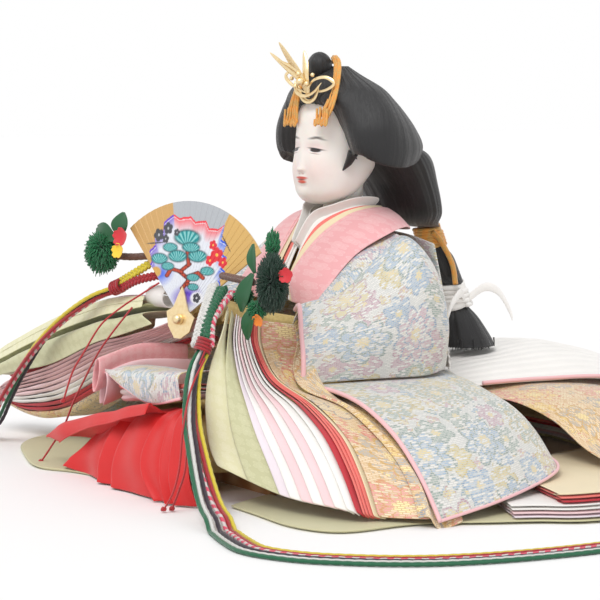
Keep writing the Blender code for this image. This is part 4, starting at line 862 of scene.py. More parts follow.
stack_top, stack_bottom = lines_of(STACK_TOP_SHARES, -1), lines_of(STACK_BOTTOM_SHARES, -1)
STACK_PARTS = 11
# colour, finish, the parts of the stack's height from which and to which it reaches, and its leaves
LININGS = [("mauve", MAUVE_SILK, 0, 3, 4), ("pink", PALE_PINK_SILK, 3, 5, 2),
           ("white", WHITE_SILK, 5, 7, 2), ("red", DARK_RED_SILK, 7, 9, 2),
           ("gold", GOLD_BROCADE, 9, 11, 1)]
for colour, finish, first, last, count in LININGS:
    name = f"lining_{colour}_right"
    made = folded(name + "_cloth", stack_top, stack_bottom, np.array((0, STACK_DEPTH, 0)), finish,
                  count, first / STACK_PARTS, last / STACK_PARTS, seed=40 + first)
    sewn(name + "_cloth", made, [name])

# %% [markdown]
# ## Robe fronts and trousers
# Over the lap the fronts of the robes lie folded, and below them the red trousers
# spread over the floor. The trousers are pleated, with pleats that are sharp at the
# waist and open towards the floor.

# %% Robe fronts
LAP_ROBE_TOP_SHARES = [(-11.5, -113, 61), (0, -114, 62), (12, -113, 63), (23.5, -109, 65)]
LAP_ROBE_BOTTOM_SHARES = [(-11.5, -110, 45), (0, -112, 49), (12, -112, 53), (23.5, -108, 57)]
FOLD_SHARES = [(-16.2, -70, 51.5), (-18.2, -94, 60), (-15.7, -117, 58)]
lap_top, lap_bottom = lines_of(LAP_ROBE_TOP_SHARES), lines_of(LAP_ROBE_BOTTOM_SHARES)
lap_back = np.array((0, 0.034, -0.0030))
# the front panel starts in a point at the far end and hangs lower towards the near one
PANEL_DROP_SHARES = np.array([6, 75, 145, 150])[:, None] / 100
hanging = lap_top + (lap_bottom - lap_top) * PANEL_DROP_SHARES
hanging[0] += (-0.008, 0, 0.002)
pointed = np.array([lap_top + lap_back * (1, 0.6, 1) + (0, 0, 0.004), lap_top + (0, 0.008, 0.0016),
                    lap_top + (0, 0.0012, 0.0002), (lap_top + hanging) / 2, hanging])
made = [layer("robe_front_panel", pointed, BLUE_BROCADE, steps=(24, 24), thickness=0.0007,
              wave=0.0006, facing=-1, seed=60.0)]
trim = piping(pointed, [1.0], np.linspace(0, 1, 20), 0.8, step=0.0012)
inside = np.array((0, 0.004, -0.002))
for k, finish in enumerate([CORAL_SILK, WHITE_SILK, PALE_PINK_SILK]):
    made += folded(f"robe_fronts_{k}", lap_top + inside, lap_bottom + inside, lap_back, finish, 1,
                   0.30 + k * 0.22, 0.52 + k * 0.22, steps=(10, 24), seed=61 + k, fill=0.72)
sewn("robe_fronts_cloth", made, ["robe_fronts"], [trim])

# the jacket's right front is a flattened roll of cloth round this path
fold_path = lines_of(FOLD_SHARES) + [(0, 0, 0.0085), (0, 0, 0.0030), (0, 0, 0)]
roll = [fold_path + (0.0030 * math.cos(a) + 0.0022 * math.sin(a), 0, 0.0082 * math.sin(a))
        for a in np.radians(np.linspace(-88, 262, 13))]
front = layer("jacket_front_right_cloth", np.array(roll), PINK_FIGURED, steps=(36, 20),
              thickness=0.0008, wave=0.0005, seed=70.0)
second = layer("jacket_front_lining", np.array(roll) + (0.0012, 0.0030, -0.0068), PALE_PINK_SILK,
               run=(0.08, 0.92), steps=(30, 20), thickness=0.0005, wave=0.0006, seed=71.0)
sewn("jacket_front_right_cloth", [front, second], ["jacket_front_right"])

# %% Trousers
HAKAMA_SHARES = [
    [(33, -110, 47), (36, -115, 42), (40, -119, 20), (42, -117, 1)],
    [(26, -105, 49), (29, -116, 43), (31, -123, 20), (33, -122, 1)],
    [(20.5, -101.2, 47), (20, -115, 41), (19.5, -123.5, 20), (26.5, -123, 1)],
]
HAKAMA_RIGHT_SHARES = [
    [(19.6, -101.2, 46.5), (19.1, -115, 40.5), (18.6, -123, 20), (25.6, -122.8, 1)],
    [(10, -101.2, 43), (6, -114, 38), (4, -122, 18), (3, -123, 1)],
    [(-2, -101.2, 40), (-8, -113, 33), (-12, -120, 15), (-14, -121, 1.2)],
    [(-14, -101.2, 36), (-18, -109, 26), (-27, -117, 11), (-32, -120, 3)],
]
FLAP_SHARES = [
    [(17, -108, 42), (2, -110, 35), (-10, -110, 26), (-20, -110, 19)],
    [(19, -118, 50), (2, -119, 42), (-20, -119, 33), (-46, -118, 17)],
    [(19, -122, 45), (2, -122.5, 37), (-20, -122, 26), (-34, -120, 15.5)],
]


def pleated(count, depth, start=0.35, uneven=0.0):
    """Knife pleats: each rises slowly and drops steeply, and they open along the cloth."""
    def lift(across, along):
        shifted = across + uneven * np.sin(across * 11 + along * 1.5) / 11
        part = (shifted * count) % 1.0
        return depth * (start + (1 - start) * along) * (np.minimum(part / 0.8, (1 - part) / 0.2) - 0.5)
    return lift


HAKAMA_PARTS = [("hakama_left", HAKAMA_SHARES, (40, 26), pleated(3, 0.0042, 0.45, 0.9), 0.0012, 80.0),
                ("hakama_right", HAKAMA_RIGHT_SHARES, (60, 26), pleated(3, 0.0052, 0.5, 1.0), 0.0014, 81.0),
                ("hakama_flap", FLAP_SHARES, (36, 30), pleated(2, 0.0022, 0.5, 0.6), 0.0012, 82.0)]
legs = [layer(name + "_cloth", lines_of(shares), HAKAMA_SILK, steps=steps, thickness=0.0007,
              pleats=folds, wave=wave, seed=seed)
        for name, shares, steps, folds, wave, seed in HAKAMA_PARTS]
sewn("hakama_left_cloth", legs[:1], ["hakama_left"])
sewn("hakama_right_cloth", legs[1:], ["hakama_right"])

# %% [markdown]
# ## Hems, train and waist
# The robes' hems lie in a stack on the floor all round the doll. Each is a folded edge,
# so it gets a rounded nose and lies a little inside the one below. Behind, the gold
# brocade spreads under the white pleated train, which is tied at the waist.

# %% Hems
HEM_SHARES = [      # round the doll: two places, and how far in the visible hem goes
    (46, -103, 10), (60, -104, 11), (79, -105, 12), (92, -94, 12), (94, -62, 16), (103, -35, 24),
    (109, -17, 28), (117, 4, 30), (120, 60, 30), (110, 130, 30), (78, 185, 30), (30, 203, 30),
    (0, 206, 30), (-30, 203, 30), (-78, 185, 30), (-110, 130, 30), (-120, 60, 30), (-117, 4, 30),
    (-109, -17, 28), (-103, -35, 24), (-95, -62, 16), (-90, -88, 12), (-79, -105, 12),
    (-60, -118, 11), (-40, -127, 11), (-27, -119, 10), (-10, -113, 10)]
HEM_STEP_SHARE = 0.011
HEM_LAYER = 0.0012
hem_places = np.array(HEM_SHARES) / 100 * (SLEEVE_REACH, GARMENT_DEPTH, 1)
hem_centre = np.array((0, 0.045, 0))
HEMS = [("hem_olive", 0, (0.0, 1.0), [OLIVE_SILK]),
        ("hem_white", 1, (0.212, 0.711), [LAVENDER_SILK, PALE_PINK_SILK, WHITE_SILK, WHITE_SILK]),
        ("hem_red", 5, (0.255, 0.668), [DARK_RED_SILK, CORAL_SILK, CREAM_SILK])]
for name, lowest, run, parts in HEMS:
    made = []
    places = smooth(hem_places, np.linspace(run[0], run[1], 90))
    flat = places * (1, 1, 0) - hem_centre
    inner = hem_centre + flat * (1 - np.minimum(places[:, 2:3] * 1.8, 0.85))
    for k, finish in enumerate(parts, lowest):
        out = hem_centre + flat * (1 - k * HEM_STEP_SHARE)
        # the fold runs from the far edge over the nose and back underneath: share inward, height
        fold = ((1.0, 0.0010), (0.015, 0.0011), (0.0, 0.0006), (0.015, 0.0001), (0.2, 0.0001))
        lines = np.array([out * (1 - share) + inner * share + (0, 0, 0.0003 + k * HEM_LAYER + rise)
                          for share, rise in fold])
        made.append(layer(f"{name}_{k - lowest}", lines, finish, steps=(8, 150), wave=0.0001,
                          thickness=0.0003, facing=-1, seed=90 + 2 * k - lowest))
    sewn(name + "_cloth", made, [name])

# %% Train and waist
TRAIN_SHARES = [
    [(0, 38, 44), (0, 80, 49), (0, 120, 52), (0, 162, 38), (0, 192, 17)],
    [(30, 40, 44), (32, 80, 47), (30, 120, 42), (22, 160, 29), (15, 191, 17)],
    [(50, 43, 43), (56, 75, 46), (52, 115, 40), (40, 155, 27), (26, 189, 16.5)],
    [(66, 46, 35), (78, 72, 37), (72, 112, 32), (55, 150, 22), (37, 186, 16.5)],
    [(80, 48, 22), (86, 70, 21), (80, 110, 20), (62, 148, 17), (46, 182, 16)],
    [(102, 48, 13.8), (106, 65, 13.8), (97, 120, 13.8), (75, 162, 13.8), (56, 184, 13.8)],
]
MO_SHARES = [
    [(0, 40, 53.5), (0, 75, 57.5), (0, 120, 62), (0, 165, 46), (0, 200, 22)],
    [(18, 40, 53), (20, 75, 57), (22, 115, 58), (20, 162, 42), (16, 199, 22)],
    [(34, 40, 48.5), (38, 75, 49), (42, 115, 47), (38, 158, 33), (28, 197, 22)],
]
WAIST_SHARES = [
    [(-36, 21.5, 70), (-24, 32.5, 69), (0, 35.2, 69), (24, 32.5, 69), (36, 21.5, 70)],
    [(-36, 22.5, 58.5), (-24, 34.5, 57.3), (0, 38, 57), (24, 34.5, 57.3), (36, 22.5, 58.5)],
]


def both_sides(shares):
    """Lines of a cloth that is the same to the doll's right and left of its middle line."""
    return np.concatenate([lines_of(shares[:0:-1], -1), lines_of(shares)])


HEMS_TOP = 0.0106
train_lines = both_sides(TRAIN_SHARES)
drops = []
for edge in (train_lines[0], train_lines[-1]):      # the cloth falls on from its edge to the hems below
    fall_by = np.maximum(edge[:, 2:3] - HEMS_TOP, 0) * (0, 0, 1)
    outward = np.sign(edge[:, :1]) * (1, 0, 0)
    drops.append([edge + outward * 0.004 - fall_by * 0.5, edge + outward * 0.006 - fall_by])
train_lines = np.concatenate([drops[0][::-1], train_lines, drops[1]])
train = layer("train_gold_cloth", train_lines, GOLD_BROCADE, steps=(70, 50),
              thickness=BROCADE_THICKNESS, wave=0.0009, wave_size=0.03, seed=100.0)
sewn("train_gold_cloth", [train], ["train_gold"])
mo_lines = both_sides(MO_SHARES)
mo = layer("mo_cloth", mo_lines, WHITE_SILK, steps=(96, 50), pleats=pleated(16, 0.0009, 0.6),
           wave=0.0005, wave_size=0.025, seed=101.0)
edges = [piping(mo_lines, [share], np.linspace(0.03, 1, 30), lift=0.0006) for share in (0.0, 1.0)]
edges.append(piping(mo_lines, np.linspace(0, 1, 40), [1.0], 0.8, 0.0004))
sewn("mo_cloth", [mo], ["mo"], edges)
waist = layer("waist_tie_cloth", lines_of(WAIST_SHARES), WHITE_SILK, steps=(12, 50),
              thickness=0.0008, pleats=pleated(3, 0.0008), wave=0.0002, seed=102.0)
sewn("waist_tie_cloth", [waist], ["waist_tie"])

# %% [markdown]
# ## Face
# The head is moulded plaster under many coats of shell white, so it is smooth, a little
# glossy and lets some light in. Rings of the head's outline give its shape; nose, lips,
# cheeks and chin are small rises added where they sit. Brows, eyes and mouth are painted
# on, so here they are colour, placed by the point's own place on the head.

# %% Face
FACE_HEIGHT, HEAD_WIDTH, HEAD_DEPTH = 0.042, 0.036, 0.044
CHIN_HEIGHT = 1.52 * FOREARM_HEIGHT
# height in face heights over the chin; half width, front and back in head widths and depths
FACE_SHARES = [
    (0.00, 0.15, -0.36, -0.12), (0.04, 0.27, -0.42, -0.01), (0.12, 0.39, -0.465, 0.12),
    (0.25, 0.46, -0.485, 0.25), (0.40, 0.495, -0.488, 0.36), (0.58, 0.505, -0.475, 0.44),
    (0.78, 0.50, -0.46, 0.50), (0.98, 0.48, -0.44, 0.50), (1.16, 0.40, -0.34, 0.44),
    (1.28, 0.27, -0.20, 0.32), (1.34, 0.10, -0.04, 0.16)]
NECK_BOTTOM = 0.1126


def bulge(x, z, at_x, at_z, wide, high):
    """Soft rise of height 1 in millimetres about a place on the face."""
    return np.exp(-((x - at_x) / wide) ** 2 - ((z - at_z) / high) ** 2)


def features(x, z):
    """How far the face stands out at x across and z up, in millimetres."""
    slope = np.clip((149 - z) / 12, 0, 1) ** 1.3 * np.clip((z - 135.4) / 2.0, 0, 1)
    out = 2.2 * np.exp(-(x / (1.5 + 0.6 * slope)) ** 2) * slope
    out = out + 0.8 * bulge(x, z, 0, 133.9, 3.0, 0.9) + 0.8 * bulge(x, z, 0, 131.9, 2.4, 0.9)
    out = out - 0.5 * bulge(x, z, 0, 129.8, 3.2, 1.1) + 0.9 * bulge(x, z, 0, 125.6, 5.0, 3.0)
    for side in (-1, 1):
        out = out - 0.9 * bulge(x, z, side * 7.3, 147.5, 3.8, 2.6)
        out = out + 0.7 * bulge(x, z, side * 8.5, 137.5, 5, 5)
        out = out + 0.35 * bulge(x, z, side * 7.4, 145.9, 2.6, 1.2)
        out = out + 0.5 * bulge(x, z, side * 1.6, 137.4, 0.9, 0.9)
    return out


table = np.array(FACE_SHARES)
rows, columns = 110, 120
outline = smooth(table, np.linspace(0, 1, rows))
turn = np.linspace(0, 2 * math.pi, columns, endpoint=False)
head_grid = np.zeros((rows, columns, 3))
for k, (height, half, front, back) in enumerate(outline):
    middle, deep = (front + back) / 2 * HEAD_DEPTH, (back - front) / 2 * HEAD_DEPTH
    power = np.where(np.cos(turn) > 0, 0.84, 1.0)      # the face is flatter than the back of the head
    x = half * HEAD_WIDTH * np.sign(np.sin(turn)) * np.abs(np.sin(turn)) ** power
    y = middle - deep * np.sign(np.cos(turn)) * np.abs(np.cos(turn)) ** power
    z = np.full(columns, CHIN_HEIGHT + height * FACE_HEIGHT)
    facing = np.clip(np.cos(turn), 0, 1) ** 0.5
    y = y - features(x * 1000, z * 1000) * 0.001 * facing
    head_grid[k] = np.stack([x, y, z], axis=1)
skin = place_mesh("head_skin", head_grid.reshape(-1, 3), tube_faces(rows, columns))
neck = [(0, 0.0016, z) for z in (NECK_BOTTOM, 0.118, 0.124, 0.132, 0.138)]
throat = tube("throat", neck, 0.0184, None, step=0.001, ring=40,
              widths=([0, 0.15, 0.5, 1], [1.02, 1.0, 1.0, 1.1]))[0]

# %% Face paint
# place across and up, half sizes, all in millimetres; lean, softness, colour and strength
FACE_PAINT = [(9.0, 137.5, 6.2, 5.2, 0, 0.9, "#f0b9b4", 0.28), (7.6, 147.6, 5.0, 2.2, 0.08, 0.8, "#d9a9a4", 0.35),
              (7.6, 146.2, 3.4, 0.78, 0.08, 0.3, "#fdfdfd", 1.0), (7.7, 146.3, 3.0, 0.84, 0.08, 0.25, "#2b1c18", 1.0),
              (7.8, 146.92, 4.1, 0.42, 0.12, 0.5, "#16100f", 1.0), (7.7, 144.8, 2.4, 0.2, 0.10, 0.6, "#7a5650", 0.6),
              (7.2, 151.9, 3.0, 0.52, -0.10, 0.8, "#3a302d", 0.8), (9.8, 151.7, 2.4, 0.46, 0.28, 0.8, "#3a302d", 0.7),
              # painted shade in each nostril, under the wing of the nose
              (1.4, 135.5, 0.7, 0.4, 0, 0.8, "#c98d86", 0.5)]
LIP_PAINT = [(0, 133.6, 4.3, 0.66, 0, 0.35, "#d4503f", 1.0), (0, 131.8, 3.3, 0.78, 0, 0.35, "#df6048", 1.0),
             (0, 132.75, 3.2, 0.30, 0, 0.5, "#8a3a30", 1.0)]
PAINT_PLANE, PAINT_DEPTH = -0.020, 0.02      # the paint lies on the front of the head alone

gofun, tree = new_finish("shell_white_gofun", Roughness=0.38, Subsurface_Weight=0.12,
                         Subsurface_Scale=0.002, Coat_Weight=0.25, Coat_Roughness=0.25)
place = add(tree, "TexCoord").outputs["Object"]
mottle = add(tree, "TexNoise", {"Vector": place, "Scale": 160.0, "Detail": 3.0}).outputs["Fac"]
colour = painted(tree, "#ece4dc", mottle, "#f4eee8")
for side, spots in ((-1, FACE_PAINT), (1, FACE_PAINT), (1, LIP_PAINT)):
    for x, z, wide, high, lean, soft, code, strength in spots:
        local = add(tree, "Mapping", {0: place, "Location": (side * x / 1000, PAINT_PLANE, z / 1000),
                                      "Rotation": (0, side * lean, 0),
                                      "Scale": (wide / 1000, PAINT_DEPTH, high / 1000)},
                    vector_type="TEXTURE").outputs[0]
        reach = add(tree, "VectorMath", {0: local}, operation="LENGTH").outputs["Value"]
        spot = add(tree, "MapRange", {0: reach, 1: 1.0 + soft, 2: 1.0 - soft},
                   interpolation_type="SMOOTHSTEP").outputs[0]
        colour = painted(tree, colour, spot, code, strength)
coat(tree, colour, mottle, 0.05, 0.0003)
for part in (skin, throat):
    part.data.materials.clear()
    part.data.materials.append(gofun)
finished("head_gofun", [skin, throat], "head", "head")

# %% [markdown]
# ## Hair
# The hair is dyed silk thread, combed out into wide wings, held by wax, and tied again
# and again behind the back. It is a dense sheet, so each mass is one form with fine
# grooves along the comb's way. Single hairs would cost millions of faces and look the
# same from here.

# %% Hair finish
silk_hair, tree = new_finish("combed_black_silk_hair", Roughness=0.46, Sheen_Weight=0.12,
                             Sheen_Roughness=0.5)
uv = add(tree, "TexCoord").outputs["UV"]
thin = add(tree, "Mapping", {"Vector": uv, "Scale": (2600, 60, 1)}).outputs[0]
strands = add(tree, "TexNoise", {"Vector": thin, "Scale": 1.0, "Detail": 5.0, "Roughness": 0.7}).outputs["Fac"]
wide = add(tree, "Mapping", {"Vector": uv, "Scale": (300, 14, 1)}).outputs[0]
locks = add(tree, "TexNoise", {"Vector": wide, "Scale": 1.0, "Detail": 2.0}).outputs["Fac"]
tone = painted(tree, painted(tree, "#050505", strands, "#1c1b1d"), locks, "#131214")
coat(tree, tone, strands, 0.7, 0.0004)

# %% Hair shape
HAIR_WIDTH, HAIR_DEPTH, HAIR_RISE = 0.094, 0.062, 0.045
WING_BOTTOM = CHIN_HEIGHT + 0.45 * FACE_HEIGHT
# height over the wings' lowest point, then places round one half: across, back, extra height
WING_SHARES = [
    (0, [(0, 14, 0), (15, 3, 2), (23.2, -13, 6), (33.5, -19.5, 10), (42, -8, 0), (43, 12, -3), (29, 40, 2),
         (0, 54, 2)]),
    (15, [(0, 4, 0), (14, -4, 0), (22.6, -15.5, 2), (34, -22.5, 4), (43.5, -8, -2), (43.5, 15, 0),
          (30, 43, 2), (0, 58, 2)]),
    (35, [(0, -6, 0), (12, -11, 0), (19.6, -18.5, 0), (32.5, -24, 0), (43, -7, 0), (41, 15, 0), (29, 37, 0),
          (0, 52, 0)]),
    (52, [(0, -20, 0), (9, -20.5, 0), (15, -21.5, 0), (29, -23.5, 0), (40, -5, 0), (37.5, 12, 0),
          (26.5, 29, 0), (0, 42, 0)]),
    (64, [(0, -30, 0), (9, -30, 0), (16, -28.5, 0), (27, -21.5, 0), (35.5, -5, 0), (33.5, 10, 0),
          (23.5, 23, 0), (0, 34, 0)]),
    (76, [(0, -27.5, 0), (11, -26.5, 0), (19, -23.5, 0), (25, -16.5, 0), (29.5, -5, 0), (27.5, 7, 0),
          (20, 16, 0), (0, 25, 0)]),
    (89, [(0, -24, 0), (7, -22, 0), (12, -18, 0), (15.5, -12, 0), (17.5, -5, 0), (15.5, 2, 0), (10, 8, 0),
          (0, 12, 0)]),
    (98, [(0, -12, 0), (3, -11, 0), (5, -9, 0), (7, -6, 0), (8, -3, 0), (7, 0, 0), (4, 2, 0), (0, 3, 0)]),
]
# height, middle, half width and half depth; the top two rings stay inside the wings
FALL_SHARES = [(0.45, 0.12, 0.24, 0.16), (0.21, 0.235, 0.29, 0.23), (0.055, 0.376, 0.319, 0.29),
               (-0.233, 0.52, 0.287, 0.226), (-0.522, 0.615, 0.255, 0.19), (-0.66, 0.685, 0.16, 0.16),
               (-0.704, 0.80, 0.085, 0.11)]


def hair_place(x, y, height):
    """A place in the hair, from shares of its width, depth and rise."""
    return np.array((x * HAIR_WIDTH, y * HAIR_DEPTH, WING_BOTTOM + height * HAIR_RISE))


def oval(centre, wide, deep, count):
    """Places round a level oval."""
    return [centre + (wide * math.cos(a), deep * math.sin(a), 0)
            for a in np.linspace(0, 2 * math.pi, count, endpoint=False)]


def combed(name, rings, rows, columns, groove=0.00035, seed=1):
    """Mass of combed hair through closed rings, with grooves that run from ring to ring."""
    dice = np.random.RandomState(seed)
    rings = np.asarray(rings, float)
    around = np.array([smooth(np.concatenate([ring, ring[:1]]), np.linspace(0, 1, columns + 1))[:-1]
                       for ring in rings])
    grid = smooth(around, np.linspace(0, 1, rows))
    noise_row = dice.rand(columns)
    fine = np.convolve(np.concatenate([noise_row[-2:], noise_row, noise_row[:2]]),
                       [0.1, 0.25, 0.3, 0.25, 0.1], "same")[2:-2]
    turns = np.linspace(0, 2 * math.pi * max(columns // 16, 3), columns, endpoint=False)
    lock = 0.5 + 0.5 * np.sin(turns + 2 * np.convolve(noise_row, np.ones(9) / 9, "same"))
    normal = unit(np.cross(np.gradient(grid, axis=0), (np.roll(grid, -1, 1) - np.roll(grid, 1, 1)) / 2))
    middle = grid.mean(axis=1, keepdims=True)
    normal *= np.sign((normal * (grid - middle)).sum(axis=2, keepdims=True) + 1e-12)
    depth = groove * (0.6 * (0.5 - fine) * 2 + 0.4 * (lock - 1))
    fade = np.clip(np.minimum(np.arange(rows), np.arange(rows)[::-1]) / 3, 0.2, 1)
    grid = grid + normal * (depth[None, :] * fade[:, None])[..., None]
    across, along = distances(grid[rows // 2]), distances(grid[:, columns // 3])
    uv = np.stack(np.broadcast_arrays(across[None, :], along[:, None]), axis=2).reshape(-1, 2)
    return place_mesh(name, grid.reshape(-1, 3), tube_faces(rows, columns), silk_hair, uv)


def face_out(thing):
    """Recalculate the normals of a closed piece so that they face outward."""
    bpy.ops.object.select_all(action="DESELECT")
    bpy.context.view_layer.objects.active = thing
    thing.select_set(True)
    bpy.ops.object.mode_set(mode="EDIT")
    bpy.ops.mesh.select_all(action="SELECT")
    bpy.ops.mesh.normals_make_consistent(inside=False)
    bpy.ops.object.mode_set(mode="OBJECT")
    thing.data.shade_smooth()
    return thing


wings = []
for height, half in WING_SHARES:
    loop = half + [(-x, y, up) for x, y, up in half[-2:0:-1]]
    wings.append([hair_place(x / 100, y / 100, (height + up) / 100) for x, y, up in loop])
under = [p * (0.93, 0.93, 1) + (0, 0.0008, 0.0022) for p in wings[0]]
cap = face_out(combed("hair_wings", [under] + wings, 110, 420, seed=4))
falls = [oval(hair_place(0, middle, height), half * HAIR_WIDTH, deep * HAIR_DEPTH, 16)
         for height, middle, half, deep in FALL_SHARES[::-1]]
fall = face_out(combed("hair_fall", falls, 80, 300, seed=5))
bun_middle = hair_place(0, -0.185, 0.98)
bun_rings = [oval(bun_middle - (0, 0, 0.0066 * math.cos(polar)), 0.0056 * math.sin(polar),
                  0.0060 * math.sin(polar), 12) for polar in np.linspace(0.12, math.pi - 0.12, 9)]
bun = face_out(combed("hair_bun", bun_rings, 40, 90, groove=0.0003, seed=6))
tufts = []
for side in (-1, 1):      # the tufts in front of the ears
    route = [(side * 0.0225, -0.0085, 0.1455), (side * 0.0200, -0.0093, 0.1410),
             (side * 0.0163, -0.0103, 0.1368)]
    tufts.append(tube("tuft", route, 0.0042, silk_hair, step=0.0005, ring=16,
                      widths=([0, 0.5, 1], [1.2, 0.8, 0.06]))[0])
finished("hair_combed", [cap, fall, bun] + tufts, "hair_main", "head")

# %% [markdown]
# ## Gathered hair
# Down the back the hair is bound with a gold cord, hangs on, is bound again with white
# paper, and ends in a cut brush that spreads a little.

# %% Gathered hair
gilt, tree = new_finish("gilt_brass_foil", Metallic=0.85, Roughness=0.34)
place = add(tree, "TexCoord").outputs["Object"]
glint_and_dent = add(tree, "TexNoise", {"Vector": place, "Scale": 700.0, "Detail": 4.0}).outputs["Fac"]
# painted highlights: noise lays near-white flecks of glint over the gold, and the same noise dents the foil
coat(tree, painted(tree, "#e6c88c", glint_and_dent, "#fceac4"), glint_and_dent, 0.35, 0.0003)
GOLD_CORD = cord_silk("gold_orange_twisted_silk", "#f6bd66", "#eda347")
PAPER_TIE = silk("white_tie_paper", "#f6f4f1", roughness=0.7, sheen=0.05, thread=0.0007)[0]
GATHERED_SHARES = {
    "hair_lower": [(0.876, -0.924, 0.064), (0.90, -0.99, 0.080), (0.919, -1.056, 0.090),
                   (0.968, -1.211, 0.093), (1.04, -1.333, 0.077)],
    "hair_tail": [(1.118, -1.585, 0.060), (1.135, -1.66, 0.088), (1.153, -1.744, 0.110),
                  (1.194, -1.922, 0.142), (1.21, -2.011, 0.150)]}


for name, shares in GATHERED_SHARES.items():
    rings = [oval(hair_place(0, middle, height), radius * HAIR_WIDTH, radius * HAIR_WIDTH, 14)
             for middle, height, radius in shares]
    parts = [face_out(combed(name + "_lock", rings, 36, 150, groove=0.0008, seed=len(name)))]
    if name == "hair_tail":      # the cut ends of the brush
        dice = np.random.RandomState(8)
        middle, height, radius = shares[-1]
        foot = hair_place(0, middle, height)
        for k in range(150):
            a, r = dice.rand() * 2 * math.pi, math.sqrt(dice.rand()) * radius * HAIR_WIDTH
            start = foot + (r * math.cos(a), r * math.sin(a), 0.004)
            drop = -0.0003 - 0.0012 * dice.rand()
            end = foot + (r * 1.03 * math.cos(a), r * 1.03 * math.sin(a), drop)
            parts.append(tube(f"tip_{k}", [start, (start + end) / 2, end], 0.0009, silk_hair, step=0.002,
                              ring=5, widths=([0, 1], [1.0, 0.4]))[0])
    finished(name + "_lock", parts, name, "head")


def wound(name, start, end, radius, thickness, finish, turns):
    """Cord wound round a lock of hair, one turn beside the other."""
    angles = np.linspace(0, 2 * math.pi * turns, turns * 28)
    share = np.linspace(0, 1, len(angles))[:, None]
    route = np.asarray(start) * (1 - share) + np.asarray(end) * share
    route = route + radius * np.stack([np.cos(angles), np.sin(angles), 0 * angles], axis=1)
    return tube(name, route, thickness, finish, step=0.0011, ring=8, lobes=2, lay=0.003)[0]


low_gold, high_gold = hair_place(0, 0.871, -0.918), hair_place(0, 0.823, -0.713)
tuck = np.array((0, 0, 0.001))
tie = wound("tie", low_gold + tuck, high_gold - tuck, 0.0064, 0.0021, GOLD_CORD, 5)
tie_core = tube("tie_core", [low_gold, high_gold], 0.0126, GOLD_CORD, step=0.0015, ring=24)[0]
tie_end = [high_gold + (0.0066, -0.002, -0.002), high_gold + (0.0090, 0.001, -0.006),
           low_gold + (0.0105, 0.004, -0.008), low_gold + (0.0108, 0.006, -0.018)]
strip = tube("tie_end", tie_end, 0.0026, GOLD_CORD, step=0.001, ring=8)[0]
low_white, high_white = hair_place(0, 1.113, -1.578), hair_place(0, 1.048, -1.340)
band = wound("band", low_white + tuck, high_white - tuck, 0.0071, 0.0026, PAPER_TIE, 4)
band_core = tube("band_core", [low_white, high_white], 0.0142, PAPER_TIE, step=0.0015, ring=24)[0]
PAPER_ENDS = [[(7.5, 71, 74), (11, 78, 79), (12, 85.5, 76.5), (12.5, 91, 69), (13, 93.5, 63.5)],
              [(7, 68, 74), (12, 62, 77), (13.5, 56, 72.5), (13, 53.5, 66)]]
paper = [band, band_core]
for k, route in enumerate(PAPER_ENDS):
    route = np.array(route) / 1000
    lines = np.array([route + (0, 0, 0.0022), route + (0.0004, 0, 0), route - (0, 0, 0.0022)])
    paper.append(layer(f"paper_end_{k}", lines, PAPER_TIE, steps=(6, 20), thickness=0.0004,
                       wave=0.0002, seed=110 + k))
finished("hair_tie_gold_cord", [tie, tie_core, strip], "hair_tie_gold", "head")
finished("hair_tie_white_paper", paper, "hair_tie_white", "head")

# %% [markdown]
# ## Tiara and forehead cords
# The gilt tiara is pressed brass with leaf shapes, some with a small bead. Orange silk
# cords are tied round the bun and hang down both sides of the forehead in bundles.

# %% Tiara and forehead cords
def finish_node(name, finish):
    """Give a shown CAD node its material."""
    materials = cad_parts[name].data.materials
    materials.clear()
    materials.append(finish)


def strip_of(name, route, wide, finish, front, taper=0.25):
    """Flat strip along a route, facing one way, narrower at its ends."""
    path = smooth(np.array(route), np.linspace(0, 1, 12))
    side = unit(np.cross(np.gradient(path, axis=0), front))
    share = np.linspace(0, 1, 12)[:, None]
    half = wide / 2 * (taper + (1 - taper) * np.sin(np.pi * share) ** 0.6)
    bow = np.asarray(front) * wide * 0.12
    return layer(name, np.array([path - side * half, path + bow, path + side * half]), finish,
                 steps=(6, 24), thickness=0.0004, wave=0.0)


def bead(place, radius, finish, segments=14, rings=8):
    """A small round bead at a place."""
    bpy.ops.mesh.primitive_uv_sphere_add(segments=segments, ring_count=rings, radius=radius,
                                         location=place)
    made = bpy.context.object
    bpy.ops.object.transform_apply(location=True, rotation=False, scale=False)
    made.data.shade_smooth()
    made.data.materials.append(finish)
    return made


tiara_front = np.array((0.35, -0.80, 0.45))
# each strip's route, then its width; all in millimetres
TIARA_STRIPS = [
    ([(3.5, -20.0, 170), (3.5, -24.5, 178), (1.5, -31, 184), (-1.0, -38, 190.5)], 2.6),
    ([(4.0, -20.0, 170), (4.0, -25, 180), (4, -30.5, 187), (4, -36.5, 195)], 3.0),
    ([(4.0, -21, 172), (4.5, -25, 180), (3.5, -29, 184), (2, -35, 187)], 2.0),
    ([(4.5, -20.5, 171), (5.5, -23, 180), (4.5, -22.5, 186), (2, -21.5, 191.5)], 3.4),
    ([(4, -21, 172), (-1, -26, 176), (-3.5, -28, 180), (-1, -27, 182), (2, -25, 179)], 1.8),
    ([(4, -21, 173), (9, -21.5, 178), (15, -18.5, 179.5), (18.5, -16.5, 176.5), (14, -18.5, 173.5),
      (7, -20.5, 173)], 1.9),
    ([(-3, -21.5, 176), (0, -21.5, 170.5), (4, -20.8, 168.5), (8.5, -20.3, 170), (11, -19.5, 175)], 2.4),
    ([(-5, -22, 178), (-2.5, -23, 173), (3, -22.5, 171), (9, -21.5, 172.5), (13, -19.5, 177)], 1.8)]
TIARA_BEADS = [(3.8, -25, 177.5, 2.0), (1, -25.5, 175.5, 1.2), (7, -23.5, 176.5, 1.3),
               (4, -26, 181, 1.2), (9.5, -22, 180.5, 1.0), (-1.5, -26, 179, 1.0)]
